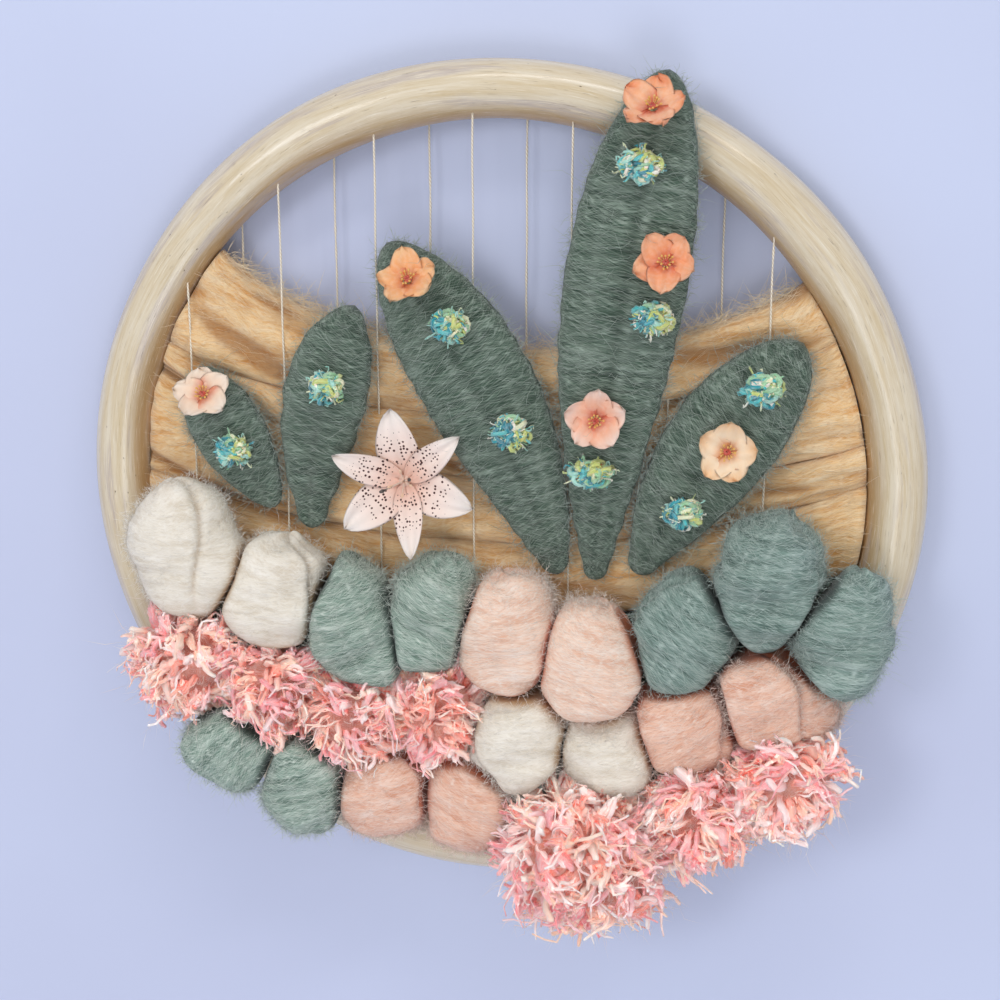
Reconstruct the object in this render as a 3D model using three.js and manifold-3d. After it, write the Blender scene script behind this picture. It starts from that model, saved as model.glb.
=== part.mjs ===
// A wall hanging worked inside a hoop of bent cane. Fine warp threads run down the hoop. Combed wool is
// laid through them in swags, a woven ground fills the foot of the hoop, and on it sit runs of puffed
// wool, cut pile, a pompom, wool-wrapped leaves, cloth flowers and small knots of fancy yarn.
// Millimetres, +Z up, the front faces -Y. The origin is where a wall hook carries the hoop: under the
// middle of its top.
import * as THREE from "three";
import { mergeVertices } from "three/addons/utils/BufferGeometryUtils.js";
import Module from "manifold-3d";

const wasm = await Module();
wasm.setup();

// ---- driving sizes ----
const CLEAR = 0.3; // air between pieces that touch
const RING_RADIUS = 188.5; // centre line of the cane
const CANE_RADIUS = 14;
const INNER_RADIUS = RING_RADIUS - CANE_RADIUS;
const FILL_RADIUS = INNER_RADIUS - 0.9; // how far the woven parts reach inside the hoop

const WARP_COUNT = 14;
const WARP_SPACING = 23;
const WARP_RADIUS = 0.5;
const WARP_DEPTH = 8.2; // in front of or behind the hoop's middle, by turns

const SWAG_HALF_DEPTH = 7;
const GROUND_THICKNESS = 3;
const WORK_PLANE = -(WARP_DEPTH + WARP_RADIUS + CLEAR); // backs of the pieces worked on the front warps
const HOOP_FRONT_PLANE = -(CANE_RADIUS + 2 * CLEAR); // backs of the pieces that lap over the hoop

const CANE = { color: 0xdcc9a0, roughness: 0.45 };
const THREAD = { color: 0xe6dccb, roughness: 0.8 };
const WOOL = {
  cream: { color: 0xe9dfcb },
  sage: { color: 0x7f9a90 },
  peach: { color: 0xf0c4ae },
  pink: { color: 0xe8a39a },
  tan: { color: 0xc9a06c },
  leaf: { color: 0x5e7568 },
  ground: { color: 0x7d9484 },
  knot: { color: 0x6fc3b8 },
};
const PETAL_CLOTH = { color: 0xf3b08c, roughness: 0.8 };
const LILY_CLOTH = { color: 0xf2c9b5, roughness: 0.7 };

// ---- tables ----
// The swags lie between these edges, from the top. An edge has the height of its middle over the hoop's
// centre, how much higher both its ends are, and how much higher still its right end is and lower its left.
const SWAG_EDGES = [
  { middle: 66, rise: 41, lean: -4 },
  { middle: 35, rise: 36, lean: 5 },
  { middle: 3, rise: 38, lean: -13 },
  { middle: -28, rise: 33, lean: 3 },
  { middle: -64, rise: 36, lean: -6 },
];

// Runs of puffed wool and of pile. Each is one length, and each row is one puff of it: its middle, its
// half width, half height and half depth, and its lean in degrees.
const RUNS = [
  {
    name: "puffs_cream_left",
    finish: WOOL.cream,
    puffs: [
      { x: -150, z: -33, w: 28, h: 38, d: 22, lean: 10 },
      { x: -106, z: -51, w: 26, h: 31, d: 20, lean: -12 },
    ],
  },
  {
    name: "puffs_sage_left",
    finish: WOOL.sage,
    puffs: [
      { x: -66, z: -65, w: 23, h: 36, d: 22, lean: 20 },
      { x: -29, z: -58, w: 21, h: 31, d: 20, lean: -10 },
    ],
  },
  {
    name: "pile_band",
    finish: WOOL.pink,
    puffs: [
      { x: -151, z: -86, w: 28, h: 27, d: 20, lean: 20 },
      { x: -109, z: -101, w: 28, h: 26, d: 23, lean: 10 },
      { x: -67, z: -112, w: 27, h: 25, d: 23, lean: 6 },
      { x: -27, z: -108, w: 24, h: 26, d: 21, lean: 0 },
    ],
  },
  {
    name: "puffs_sage_low",
    finish: WOOL.sage,
    puffs: [
      { x: -128, z: -130, w: 26, h: 23, d: 19, lean: 40 },
      { x: -92, z: -148, w: 23, h: 27, d: 21, lean: 16 },
    ],
  },
  {
    name: "puffs_peach_low",
    finish: WOOL.peach,
    puffs: [
      { x: -54, z: -152, w: 27, h: 24, d: 21, lean: 10 },
      { x: -13, z: -156, w: 23, h: 26, d: 20, lean: -4 },
    ],
  },
  {
    name: "puffs_peach_right",
    finish: WOOL.peach,
    puffs: [
      { x: 8, z: -67, w: 24, h: 34, d: 21, lean: 6 },
      { x: 49, z: -77, w: 27, h: 30, d: 23, lean: -14 },
    ],
  },
  {
    name: "puffs_sage_right",
    finish: WOOL.sage,
    puffs: [
      { x: 91, z: -62, w: 25, h: 34, d: 22, lean: -24 },
      { x: 130, z: -35, w: 26, h: 37, d: 24, lean: -14 },
      { x: 166, z: -58, w: 22, h: 35, d: 21, lean: -10 },
    ],
  },
  {
    name: "puffs_cream_right",
    finish: WOOL.cream,
    puffs: [
      { x: 12, z: -120, w: 27, h: 28, d: 23, lean: 0 },
      { x: 56, z: -124, w: 24, h: 24, d: 22, lean: 8 },
    ],
  },
  {
    name: "puffs_peach_side",
    finish: WOOL.peach,
    puffs: [
      { x: 96, z: -108, w: 25, h: 27, d: 21, lean: 18 },
      { x: 137, z: -93, w: 28, h: 29, d: 21, lean: 30 },
    ],
  },
  {
    name: "pile_side",
    finish: WOOL.pink,
    puffs: [
      { x: 103, z: -149, w: 29, h: 25, d: 22, lean: 34 },
      { x: 142, z: -126, w: 27, h: 24, d: 20, lean: 46 },
    ],
  },
];
const POMPOM = { name: "pompom", finish: WOOL.pink, x: 48, z: -169, w: 43, h: 40, d: 30, lean: 0 };
const PUFF_SQUARENESS = 2.7; // 2 is an ellipsoid, and more is fuller at its corners
const PUFF_STAND = 0.72; // how far forward of its back a puff's middle is, in half depths
const NEIGHBOUR_RANGE = 90; // puffs further apart than this can't meet
const NEAR_TOUCH = 2; // puffs with less air than this between them press on each other
const HOOP_PUSHES_FROM = 160; // puffs this far out are pushed forward by the cane
const HOOP_PUSH = 0.45; // by this much of the distance past that

// Wool-wrapped leaves: foot, bend and tip of the midrib, half width and half depth, and the plane that
// the back of the blade lies on. The feet all stand on the front warps.
const LEAVES = [
  { name: "leaf_tall", foot: [48, -42], bend: [52, 80], tip: [78, 198], w: 28, d: 8.6, back: HOOP_FRONT_PLANE },
  { name: "leaf_left", foot: [30, -40], bend: [10, 38], tip: [-52, 118], w: 27, d: 8, back: WORK_PLANE },
  { name: "leaf_right", foot: [68, -38], bend: [92, 18], tip: [142, 76], w: 25, d: 8, back: WORK_PLANE },
  { name: "sprig_outer", foot: [-109, -12], bend: [-124, 16], tip: [-146, 56], w: 18, d: 7, back: WORK_PLANE },
  { name: "sprig_inner", foot: [-91, -22], bend: [-90, 32], tip: [-68, 88], w: 20, d: 7, back: WORK_PLANE },
];
const LEAF_RISE = 0.95; // powers of the blade's widening from its foot and of its narrowing to its tip
const LEAF_FALL = 0.58;
const STALK_HALF_WIDTH = 4.5;
const STALK_HALF_DEPTH = 3.2;

// Cloth blossoms: the leaf each is sewn to, how far up that leaf and across it (in half widths), its
// radius, and how it is tipped back and turned, in degrees.
const BLOSSOMS = [
  { name: "blossom_tip", leaf: "leaf_tall", up: 0.93, across: -0.15, radius: 15, tip: 48, turn: 12 },
  { name: "blossom_edge", leaf: "leaf_tall", up: 0.66, across: 0.6, radius: 14.5, tip: 22, turn: 38 },
  { name: "blossom_middle", leaf: "leaf_tall", up: 0.34, across: -0.2, radius: 14.5, tip: 4, turn: 0 },
  { name: "blossom_left", leaf: "leaf_left", up: 0.9, across: 0.1, radius: 14.5, tip: 40, turn: -16 },
  { name: "blossom_right", leaf: "leaf_right", up: 0.6, across: 0.15, radius: 15, tip: 8, turn: 10 },
  { name: "blossom_sprig", leaf: "sprig_outer", up: 0.86, across: 0.1, radius: 14, tip: 34, turn: -14 },
];
const BLOSSOM_PETALS = 5;
const BLOSSOM_CUP = 0.42; // a petal's rise for its length
const STEM_SHARE = 0.8; // how much of a tipped flower's stand-off its stem fills
const LILY = {
  name: "lily",
  middle: [-43, WORK_PLANE - 10, 6],
  radius: 35,
  petals: 6,
  cup: 0.5,
  stem: 9,
  tip: 6,
  turn: -10,
};

// Knots of fancy yarn, placed like the blossoms: half width, half depth and half height.
const KNOTS = [
  { name: "knot_tip", leaf: "leaf_tall", up: 0.83, across: -0.1, size: [8.5, 4.6, 6.5] },
  { name: "knot_edge", leaf: "leaf_tall", up: 0.555, across: 0.55, size: [7.5, 4.5, 6] },
  { name: "knot_middle", leaf: "leaf_tall", up: 0.235, across: -0.25, size: [8.5, 4.2, 5.5] },
  { name: "knot_left_top", leaf: "leaf_left", up: 0.76, across: 0.25, size: [7, 4.2, 6] },
  { name: "knot_left_low", leaf: "leaf_left", up: 0.45, across: 0.25, size: [7.5, 4.4, 6.5] },
  { name: "knot_right_top", leaf: "leaf_right", up: 0.83, across: -0.1, size: [8, 4.4, 6.5] },
  { name: "knot_right_low", leaf: "leaf_right", up: 0.33, across: 0.2, size: [7.5, 4.4, 6] },
  { name: "knot_sprig_outer", leaf: "sprig_outer", up: 0.5, across: 0.05, size: [7, 4.2, 6] },
  { name: "knot_sprig_inner", leaf: "sprig_inner", up: 0.68, across: 0.1, size: [7, 4.2, 6.5] },
];

// ---- helpers ----
const hanging = new THREE.Group();
hanging.position.z = -INNER_RADIUS; // the pieces below are set out from the hoop's centre

function piece(name, geometry, finish) {
  const material = new THREE.MeshStandardMaterial({ roughness: 0.95, metalness: 0, ...finish });
  const mesh = new THREE.Mesh(geometry, material);
  mesh.name = name;
  hanging.add(mesh);
  return mesh;
}

const power = (value, exponent) => Math.sign(value) * Math.abs(value) ** exponent;

// The direction at an angle round from +X, and at a fall from the front to the back.
function outwards(fall, angle) {
  return new THREE.Vector3(Math.sin(fall) * Math.cos(angle), -Math.cos(fall), Math.sin(fall) * Math.sin(angle));
}

// A closed surface with a pole at each end. place(turn, step) gives its point at turn, from 0 to 1 round
// it, and step, from 0 to steps along it. At both poles it gives one point for every turn.
function shell(around, steps, place) {
  const geometry = new THREE.SphereGeometry(1, around, steps);
  const position = geometry.getAttribute("position");
  for (let i = 0; i < position.count; i++) {
    const step = Math.floor(i / (around + 1));
    const turn = ((i % (around + 1)) % around) / around;
    const point = place(turn, step);
    position.setXYZ(i, point.x, point.y, point.z);
  }
  geometry.deleteAttribute("normal");
  geometry.deleteAttribute("uv");
  const merged = mergeVertices(geometry, 1e-3);
  if (solidOf(merged).volume() < 0) merged.index.array.reverse(); // faces turned outwards
  merged.computeVertexNormals();
  return merged;
}

function solidOf(geometry) {
  return new wasm.Manifold(
    new wasm.Mesh({
      numProp: 3,
      vertProperties: geometry.getAttribute("position").array,
      triVerts: new Uint32Array(geometry.index.array),
    }),
  );
}

function geometryOf(solid) {
  const mesh = solid.getMesh();
  const geometry = new THREE.BufferGeometry();
  geometry.setAttribute("position", new THREE.BufferAttribute(mesh.vertProperties, 3));
  geometry.setIndex(new THREE.BufferAttribute(mesh.triVerts, 1));
  geometry.computeVertexNormals();
  return geometry;
}

// ---- the hoop ----
function hoop() {
  const geometry = new THREE.TorusGeometry(RING_RADIUS, CANE_RADIUS, 12, 72);
  geometry.rotateX(Math.PI / 2);
  return geometry;
}

// ---- the warp ----
// One taut thread from the top of the hoop to its foot, in front of the woven parts or behind them.
function warp(x) {
  const section = new THREE.Shape();
  section.absarc(0, 0, WARP_RADIUS, 0, 2 * Math.PI, false);
  const hoopWall = RING_RADIUS - Math.sqrt(CANE_RADIUS ** 2 - WARP_DEPTH ** 2) - 2 * CLEAR;
  const half = Math.sqrt(hoopWall ** 2 - x * x);
  const length = { depth: 2 * half, bevelEnabled: false, curveSegments: 3 };
  return new THREE.ExtrudeGeometry(section, length).translate(0, 0, -half);
}

// ---- the swags of combed wool ----
// Height of an edge at s, from -1 at the hoop's left side to 1 at its right.
const edgeHeight = (edge, s) => edge.middle + edge.rise * s * s + edge.lean * s;

function swagSolid(upper, lower) {
  const steps = 14;
  return shell(12, steps, (turn, step) => {
    const s = THREE.MathUtils.clamp((2 * (step - 1)) / (steps - 2) - 1, -1, 1);
    const reach = step === 0 || step === steps ? 0 : 1;
    const angle = 2 * Math.PI * turn;
    const middle = (edgeHeight(upper, s) + edgeHeight(lower, s)) / 2;
    const half = (edgeHeight(upper, s) - edgeHeight(lower, s)) / 2 - CLEAR;
    const z = middle + reach * half * power(Math.sin(angle), 0.7);
    const y = reach * SWAG_HALF_DEPTH * power(Math.cos(angle), 0.55);
    return new THREE.Vector3(s * Math.sqrt(FILL_RADIUS ** 2 - z * z), y, z);
  });
}

// ---- the woven ground ----
// A flat sheet under the last swag, as wide as the hoop.
function ground() {
  const last = SWAG_EDGES[SWAG_EDGES.length - 1];
  const edge = (s) => edgeHeight(last, s) - CLEAR;
  const corner = (s) => new THREE.Vector2(s * Math.sqrt(FILL_RADIUS ** 2 - edge(s) ** 2), edge(s));
  const left = corner(-1);
  const right = corner(1);
  const outline = new THREE.Shape();
  outline.moveTo(left.x, left.y);
  outline.absarc(0, 0, FILL_RADIUS, Math.atan2(left.y, left.x), Math.atan2(right.y, right.x), false);
  for (let s = 0.75; s > -1; s -= 0.25) outline.lineTo(corner(s).x, corner(s).y - 3 * CLEAR);
  outline.closePath();
  const cloth = { depth: GROUND_THICKNESS, bevelEnabled: false, curveSegments: 24 };
  const geometry = new THREE.ExtrudeGeometry(outline, cloth);
  geometry.rotateX(Math.PI / 2);
  geometry.translate(0, GROUND_THICKNESS / 2, 0);
  return geometry;
}

// ---- puffs and pile ----
// How far an ellipse of a puff reaches towards the direction (x, z) in the plane of the hoop.
function reachOf(puff, x, z) {
  const lean = THREE.MathUtils.degToRad(puff.lean);
  const along = (x * Math.cos(lean) + z * Math.sin(lean)) / puff.w;
  const up = (z * Math.cos(lean) - x * Math.sin(lean)) / puff.h;
  return (Math.abs(along) ** PUFF_SQUARENESS + Math.abs(up) ** PUFF_SQUARENESS) ** (-1 / PUFF_SQUARENESS);
}

// The planes that press a puff flat: the one behind it, the hoop's shoulder, and one against each
// neighbour, which it overlaps a little if they are one length of wool. Each is a normal and a distance.
function pressesOn(puff, everyPuff) {
  const presses = [{ normal: new THREE.Vector3(0, 1, 0), distance: puff.back - puff.y }];
  const out = Math.hypot(puff.x, puff.z);
  if (puff.back === WORK_PLANE) {
    const normal = new THREE.Vector3(puff.x / out, 1, puff.z / out).normalize();
    const shoulder = (RING_RADIUS - out - puff.y) * Math.SQRT1_2 - CANE_RADIUS;
    presses.push({ normal, distance: shoulder - 2 * CLEAR });
  }
  for (const other of everyPuff) {
    const dx = other.x - puff.x;
    const dz = other.z - puff.z;
    const apart = Math.hypot(dx, dz);
    if (other === puff || apart > NEIGHBOUR_RANGE) continue;
    const mine = reachOf(puff, dx / apart, dz / apart);
    const theirs = reachOf(other, dx / apart, dz / apart);
    const share = (apart * mine) / (mine + theirs);
    const air = other.run === puff.run ? -CLEAR : CLEAR / 2;
    if (mine + theirs > apart - NEAR_TOUCH) {
      presses.push({ normal: new THREE.Vector3(dx / apart, 0, dz / apart), distance: share - air });
    }
  }
  return presses;
}

// A puff is the squared ellipsoid about its middle, cut off at each plane that presses on it.
function puffSolid(puff, everyPuff) {
  const presses = pressesOn(puff, everyPuff);
  const around = 12;
  const steps = 7;
  return shell(around, steps, (turn, step) => {
    const fall = (Math.PI * step) / steps;
    const angle = 2 * Math.PI * turn;
    const way = outwards(fall, angle);
    const flat = Math.hypot(way.x, way.z);
    const across = flat > 1e-6 ? flat / reachOf(puff, way.x / flat, way.z / flat) : 0;
    const deep = Math.abs(way.y) / puff.d;
    let reach = (across ** PUFF_SQUARENESS + deep ** PUFF_SQUARENESS) ** (-1 / PUFF_SQUARENESS);
    for (const press of presses) {
      const facing = press.normal.dot(way);
      if (facing > 1e-6) reach = Math.min(reach, press.distance / facing);
    }
    return way.multiplyScalar(reach).add(new THREE.Vector3(puff.x, puff.y, puff.z));
  });
}

// ---- leaves ----
function leafNamed(name) {
  return LEAVES.find((leaf) => leaf.name === name);
}

// The midrib's point, its sideways direction and the blade's half sizes at s, from 0 at the foot to 1.
function leafAt(leaf, s) {
  const [foot, bend, tip] = [leaf.foot, leaf.bend, leaf.tip].map(([x, z]) => new THREE.Vector2(x, z));
  const rib = new THREE.QuadraticBezierCurve(foot, bend, tip);
  const point = rib.getPoint(s);
  const along = rib.getTangent(s);
  const fullest = LEAF_RISE / (LEAF_RISE + LEAF_FALL);
  const full = (s / fullest) ** LEAF_RISE * (Math.max(0, 1 - s) / (1 - fullest)) ** LEAF_FALL;
  const stalk = (1 - s) ** 6;
  const depth = leaf.d * full ** 0.45 * (1 - stalk) + STALK_HALF_DEPTH * stalk;
  const back = WORK_PLANE + (leaf.back - WORK_PLANE) * THREE.MathUtils.smoothstep(s, 0, 0.6);
  return {
    middle: new THREE.Vector3(point.x, back - depth, point.y),
    side: new THREE.Vector3(along.y, 0, -along.x),
    width: leaf.w * full + STALK_HALF_WIDTH * stalk,
    depth,
  };
}

function leafSolid(leaf) {
  const steps = 12;
  return shell(12, steps, (turn, step) => {
    const s = 0.5 - 0.5 * Math.cos((Math.PI * step) / steps);
    const { middle, side, width, depth } = leafAt(leaf, s);
    const reach = step === 0 || step === steps ? 0 : 1;
    const angle = 2 * Math.PI * turn;
    return middle
      .addScaledVector(side, reach * width * Math.cos(angle))
      .add(new THREE.Vector3(0, reach * depth * power(Math.sin(angle), 0.8), 0));
  });
}

// The point up a leaf and across it, in half widths, just in front of its crown.
function onLeaf(row) {
  const { middle, side, width, depth } = leafAt(leafNamed(row.leaf), row.up);
  return middle.addScaledVector(side, row.across * width).add(new THREE.Vector3(0, -depth - 2 * CLEAR, 0));
}

// ---- flowers and knots ----
// A thin cup of cloth with its outline cut into petals, on a short stem. Its foot is at the origin, and
// it opens to -Y.
function flower({ radius, petals, notch, cup, thickness, perPetal, stem }) {
  const shares = [0, 0.5, 1, 1, 0.5, 0]; // across the top from the middle to the rim, and back beneath
  return shell(petals * perPetal, shares.length - 1, (turn, step) => {
    const share = shares[step];
    const angle = 2 * Math.PI * turn;
    const outline = 1 - notch * share * (1 - Math.abs(Math.cos((petals * angle) / 2)) ** 0.65);
    const out = radius * share * outline;
    const top = step < shares.length / 2;
    const rise = cup * radius * share ** 1.4 + (top ? thickness : -stem * (1 - share) ** 4);
    return new THREE.Vector3(out * Math.cos(angle), -rise, out * Math.sin(angle));
  });
}

// How far the lowest petal of a tipped flower hangs behind its foot.
function dipOf(row) {
  const facing = Math.cos(THREE.MathUtils.degToRad(row.tip));
  return Math.max(0, row.radius * (Math.sqrt(1 - facing ** 2) - row.cup * facing));
}

// Makes a flower, turns it to face its way and sets it in front of a point, clear of its lowest petal.
function setFlower(row, point, form, finish) {
  const dip = dipOf(row);
  const mesh = piece(row.name, flower({ ...form, ...row, stem: row.stem + STEM_SHARE * dip }), finish);
  mesh.rotation.set(-THREE.MathUtils.degToRad(row.tip), 0, THREE.MathUtils.degToRad(row.turn), "ZXY");
  mesh.position.copy(point).y -= dip;
}

function knotSolid([w, d, h]) {
  return shell(8, 5, (turn, step) => {
    const fall = (Math.PI * step) / 5;
    const angle = 2 * Math.PI * turn;
    return outwards(fall, angle).multiply(new THREE.Vector3(w, d, h));
  });
}

// ---- the hanging, put together ----
piece("hoop", hoop(), CANE);

for (let i = 0; i < WARP_COUNT; i++) {
  const x = (i - (WARP_COUNT - 1) / 2) * WARP_SPACING;
  const side = i % 2 === 0 ? -1 : 1;
  piece(`warp_${String(i + 1).padStart(2, "0")}`, warp(x), THREAD).position.set(x, side * WARP_DEPTH, 0);
}

for (let i = 1; i < SWAG_EDGES.length; i++) {
  piece(`swag_${i}`, swagSolid(SWAG_EDGES[i - 1], SWAG_EDGES[i]), WOOL.tan);
}
piece("ground", ground(), WOOL.ground);

// A puff with the name of its run, the plane behind it and how far forward its middle is.
function placed(puff, run, back) {
  const overHoop = back === WORK_PLANE ? Math.max(0, Math.hypot(puff.x, puff.z) - HOOP_PUSHES_FROM) : 0;
  return { ...puff, run: run.name, back, y: back - PUFF_STAND * puff.d - HOOP_PUSH * overHoop };
}

const everyPuff = RUNS.flatMap((run) => run.puffs.map((puff) => placed(puff, run, WORK_PLANE)));
everyPuff.push(placed(POMPOM, POMPOM, HOOP_FRONT_PLANE));
for (const run of [...RUNS, POMPOM]) {
  const puffs = everyPuff.filter((puff) => puff.run === run.name);
  const solids = puffs.map((puff) => solidOf(puffSolid(puff, everyPuff)));
  piece(run.name, geometryOf(solids.reduce((whole, puff) => whole.add(puff))), run.finish);
}

for (const leaf of LEAVES) piece(leaf.name, leafSolid(leaf), WOOL.leaf);

for (const row of BLOSSOMS) {
  const form = { petals: BLOSSOM_PETALS, notch: 0.2, cup: BLOSSOM_CUP, thickness: 1, perPetal: 4 };
  setFlower({ ...row, cup: BLOSSOM_CUP, stem: 0 }, onLeaf(row), form, PETAL_CLOTH);
}
const lilyForm = { notch: 0.5, thickness: 1.2, perPetal: 6 };
setFlower(LILY, new THREE.Vector3(...LILY.middle), lilyForm, LILY_CLOTH);

for (const row of KNOTS) {
  const mesh = piece(row.name, knotSolid(row.size), WOOL.knot);
  mesh.position.copy(onLeaf(row)).y -= row.size[1];
}

export default hanging;
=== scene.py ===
"""A woven wall hanging in a bent cane hoop: combed wool swags, puffs of wool, cut pile, a pompom,
wool-wrapped leaves, cloth flowers and knots of fancy yarn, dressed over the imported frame."""

import math

import bpy
import numpy as np
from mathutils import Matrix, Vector


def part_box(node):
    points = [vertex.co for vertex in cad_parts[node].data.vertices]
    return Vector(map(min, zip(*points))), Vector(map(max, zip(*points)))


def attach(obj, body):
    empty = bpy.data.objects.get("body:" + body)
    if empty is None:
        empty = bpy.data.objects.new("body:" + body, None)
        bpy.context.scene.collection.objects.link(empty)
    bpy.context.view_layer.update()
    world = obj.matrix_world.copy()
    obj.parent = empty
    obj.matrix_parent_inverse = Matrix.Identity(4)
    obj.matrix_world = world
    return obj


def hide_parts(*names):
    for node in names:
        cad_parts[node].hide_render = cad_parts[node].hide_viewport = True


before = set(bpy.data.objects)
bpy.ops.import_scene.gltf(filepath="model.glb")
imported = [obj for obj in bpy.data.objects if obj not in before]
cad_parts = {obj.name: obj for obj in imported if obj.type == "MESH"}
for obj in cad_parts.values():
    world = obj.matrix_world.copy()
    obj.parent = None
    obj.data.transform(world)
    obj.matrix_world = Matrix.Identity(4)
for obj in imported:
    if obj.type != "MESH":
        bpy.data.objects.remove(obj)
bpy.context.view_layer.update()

# ---- driving sizes, in millimetres from the hoop's centre ----
MM = 0.001
CLEAR = 0.3
hoop_low, hoop_high = (np.array(corner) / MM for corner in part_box("hoop"))
CANE_RADIUS = (hoop_high[1] - hoop_low[1]) / 2
RING_RADIUS = (hoop_high[0] - hoop_low[0]) / 2 - CANE_RADIUS
CENTRE_HEIGHT = (hoop_low[2] + hoop_high[2]) / 2
FILL_RADIUS = RING_RADIUS - CANE_RADIUS - 0.9

# Threads lie by turns in front of and behind the swags, their ends a bite deep in the cane
WARP_COUNT = 14
WARP_SPACING = 23
WARP_RADIUS = 0.5
WARP_DEPTH = 8.2
WARP_BITE = 1.2
WARP_WANDER = 0.12
WARP_RINGS = 60
SWAG_HALF_DEPTH = 7
# The planes that the puffs and leaves, what crosses the hoop, and the hoop itself rest against
WORK_PLANE = -(WARP_DEPTH + WARP_RADIUS + CLEAR)
HOOP_FRONT_PLANE = -(CANE_RADIUS + 2 * CLEAR)
WALL_PLANE = 15.0

# Columns: middle height, rise of both ends, lean to the right
SWAG_EDGES = [(66, 41, -4), (35, 36, 5), (3, 38, -13), (-28, 33, 3), (-64, 36, -6)]

# Columns of both tables of runs: x, z, half width, half height, half depth, lean in degrees
PUFF_RUNS = {
    "cream_left": [(-150, -33, 28, 38, 22, 10), (-106, -51, 26, 31, 20, -12)],
    "sage_left": [(-66, -65, 23, 36, 22, 20), (-29, -58, 21, 31, 20, -10)],
    "sage_low": [(-128, -130, 26, 23, 19, 40), (-92, -148, 23, 27, 21, 16)],
    "peach_low": [(-54, -152, 27, 24, 21, 10), (-13, -156, 23, 26, 20, -4)],
    "peach_right": [(8, -67, 24, 34, 21, 6), (49, -77, 27, 30, 23, -14)],
    "sage_right": [(91, -62, 25, 34, 22, -24), (130, -35, 26, 37, 24, -14), (166, -58, 22, 35, 21, -10)],
    "cream_right": [(12, -120, 27, 28, 23, 0), (56, -124, 24, 24, 22, 8)],
    "peach_side": [(96, -108, 25, 27, 21, 18), (137, -93, 28, 29, 21, 30)],
}
PILE_RUNS = {
    "pile_band": [
        (-151, -86, 28, 27, 20, 20),
        (-109, -101, 28, 26, 23, 10),
        (-67, -112, 27, 25, 23, 6),
        (-27, -108, 24, 26, 21, 0),
    ],
    "pile_side": [(103, -149, 29, 25, 22, 34), (142, -126, 27, 24, 20, 46)],
    "pompom": [(48, -169, 43, 40, 30, 0)],
}
# Powers of the squared ellipsoids: a plain body, and a full puff
PUFF_SQUARENESS = 2.7
FULL_SQUARENESS = 2.15
# How sharply a plain body and a full puff turn from their free shape to a contact
PRESS_SHARPNESS = 8
FULL_SHARPNESS = 12
# A puff's middle stands off its back plane by this share of its half depth, and further past the hoop
PUFF_STAND = 0.72
HOOP_PUSHES_FROM = 160
HOOP_PUSH = 0.45
# Neighbours: how far off they are looked for, and how near their outlines come before they press
NEIGHBOUR_RANGE = 90
NEAR_TOUCH = 8
# Share of the way to a contact where the crease begins, and the half width above which a puff is cleft
CREASE_DEPTH = 0.84
CLEFT_FROM = 24.5
# A puff's grid, and the way over it from pole to pole as a share of its height
PUFF_ROWS = 48
PUFF_COLUMNS = 60
OVER_PUFF = 1.2
# Where a cleft fades out, as pairs of angles from the upper pole
CLEFT_ENDS = [(1.3, 2.2), (1.8, 2.9), (3.0, 3.2)]
CONTACT_SWING = 0.9

# Columns: foot, bend and tip of the midrib, half width, half depth, plane of the back at the tip
LEAVES = {
    "leaf_tall": ((48, -42), (52, 80), (78, 198), 28, 8.6, HOOP_FRONT_PLANE),
    "leaf_left": ((30, -40), (10, 38), (-52, 118), 27, 8, WORK_PLANE),
    "leaf_right": ((68, -38), (92, 18), (142, 76), 25, 8, WORK_PLANE),
    "sprig_outer": ((-109, -12), (-124, 16), (-146, 56), 18, 7, WORK_PLANE),
    "sprig_inner": ((-91, -22), (-90, 32), (-68, 88), 20, 7, WORK_PLANE),
}
# Powers by which a blade widens from its foot and narrows to its tip
LEAF_RISE = 0.95
LEAF_FALL = 0.58
STALK_HALF_WIDTH = 4.5
STALK_HALF_DEPTH = 3.2
WRAP_PITCH = 6.1

# Columns: leaf, share up it, share across it, radius, tip back and turn in degrees, colourway
BLOSSOMS = {
    "blossom_tip": ("leaf_tall", 0.93, -0.15, 15, 48, 12, "coral"),
    "blossom_edge": ("leaf_tall", 0.66, 0.6, 14.5, 22, 38, "coral"),
    "blossom_middle": ("leaf_tall", 0.34, -0.2, 14.5, 4, 0, "rose"),
    "blossom_left": ("leaf_left", 0.9, 0.1, 14.5, 40, -16, "orange"),
    "blossom_right": ("leaf_right", 0.6, 0.15, 15, 8, 10, "apricot"),
    "blossom_sprig": ("sprig_outer", 0.86, 0.1, 14, 34, -14, "peach"),
}
# The rise of a petal's tip as a share of its length
BLOSSOM_CUP = 0.42
LILY = {"middle": (-43, WORK_PLANE - 10, 6), "radius": 35, "cup": 0.5, "tip": 6, "turn": -10}

# Columns: leaf, share up it, share across it, half width, half depth, half height
KNOTS = {
    "knot_tip": ("leaf_tall", 0.83, -0.1, 8.5, 4.6, 6.5),
    "knot_edge": ("leaf_tall", 0.555, 0.55, 7.5, 4.5, 6),
    "knot_middle": ("leaf_tall", 0.235, -0.25, 8.5, 4.2, 5.5),
    "knot_left_top": ("leaf_left", 0.76, 0.25, 7, 4.2, 6),
    "knot_left_low": ("leaf_left", 0.45, 0.25, 7.5, 4.4, 6.5),
    "knot_right_top": ("leaf_right", 0.83, -0.1, 8, 4.4, 6.5),
    "knot_right_low": ("leaf_right", 0.33, 0.2, 7.5, 4.4, 6),
    "knot_sprig_outer": ("sprig_outer", 0.5, 0.05, 7, 4.2, 6),
    "knot_sprig_inner": ("sprig_inner", 0.68, 0.1, 7, 4.2, 6.5),
}

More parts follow.
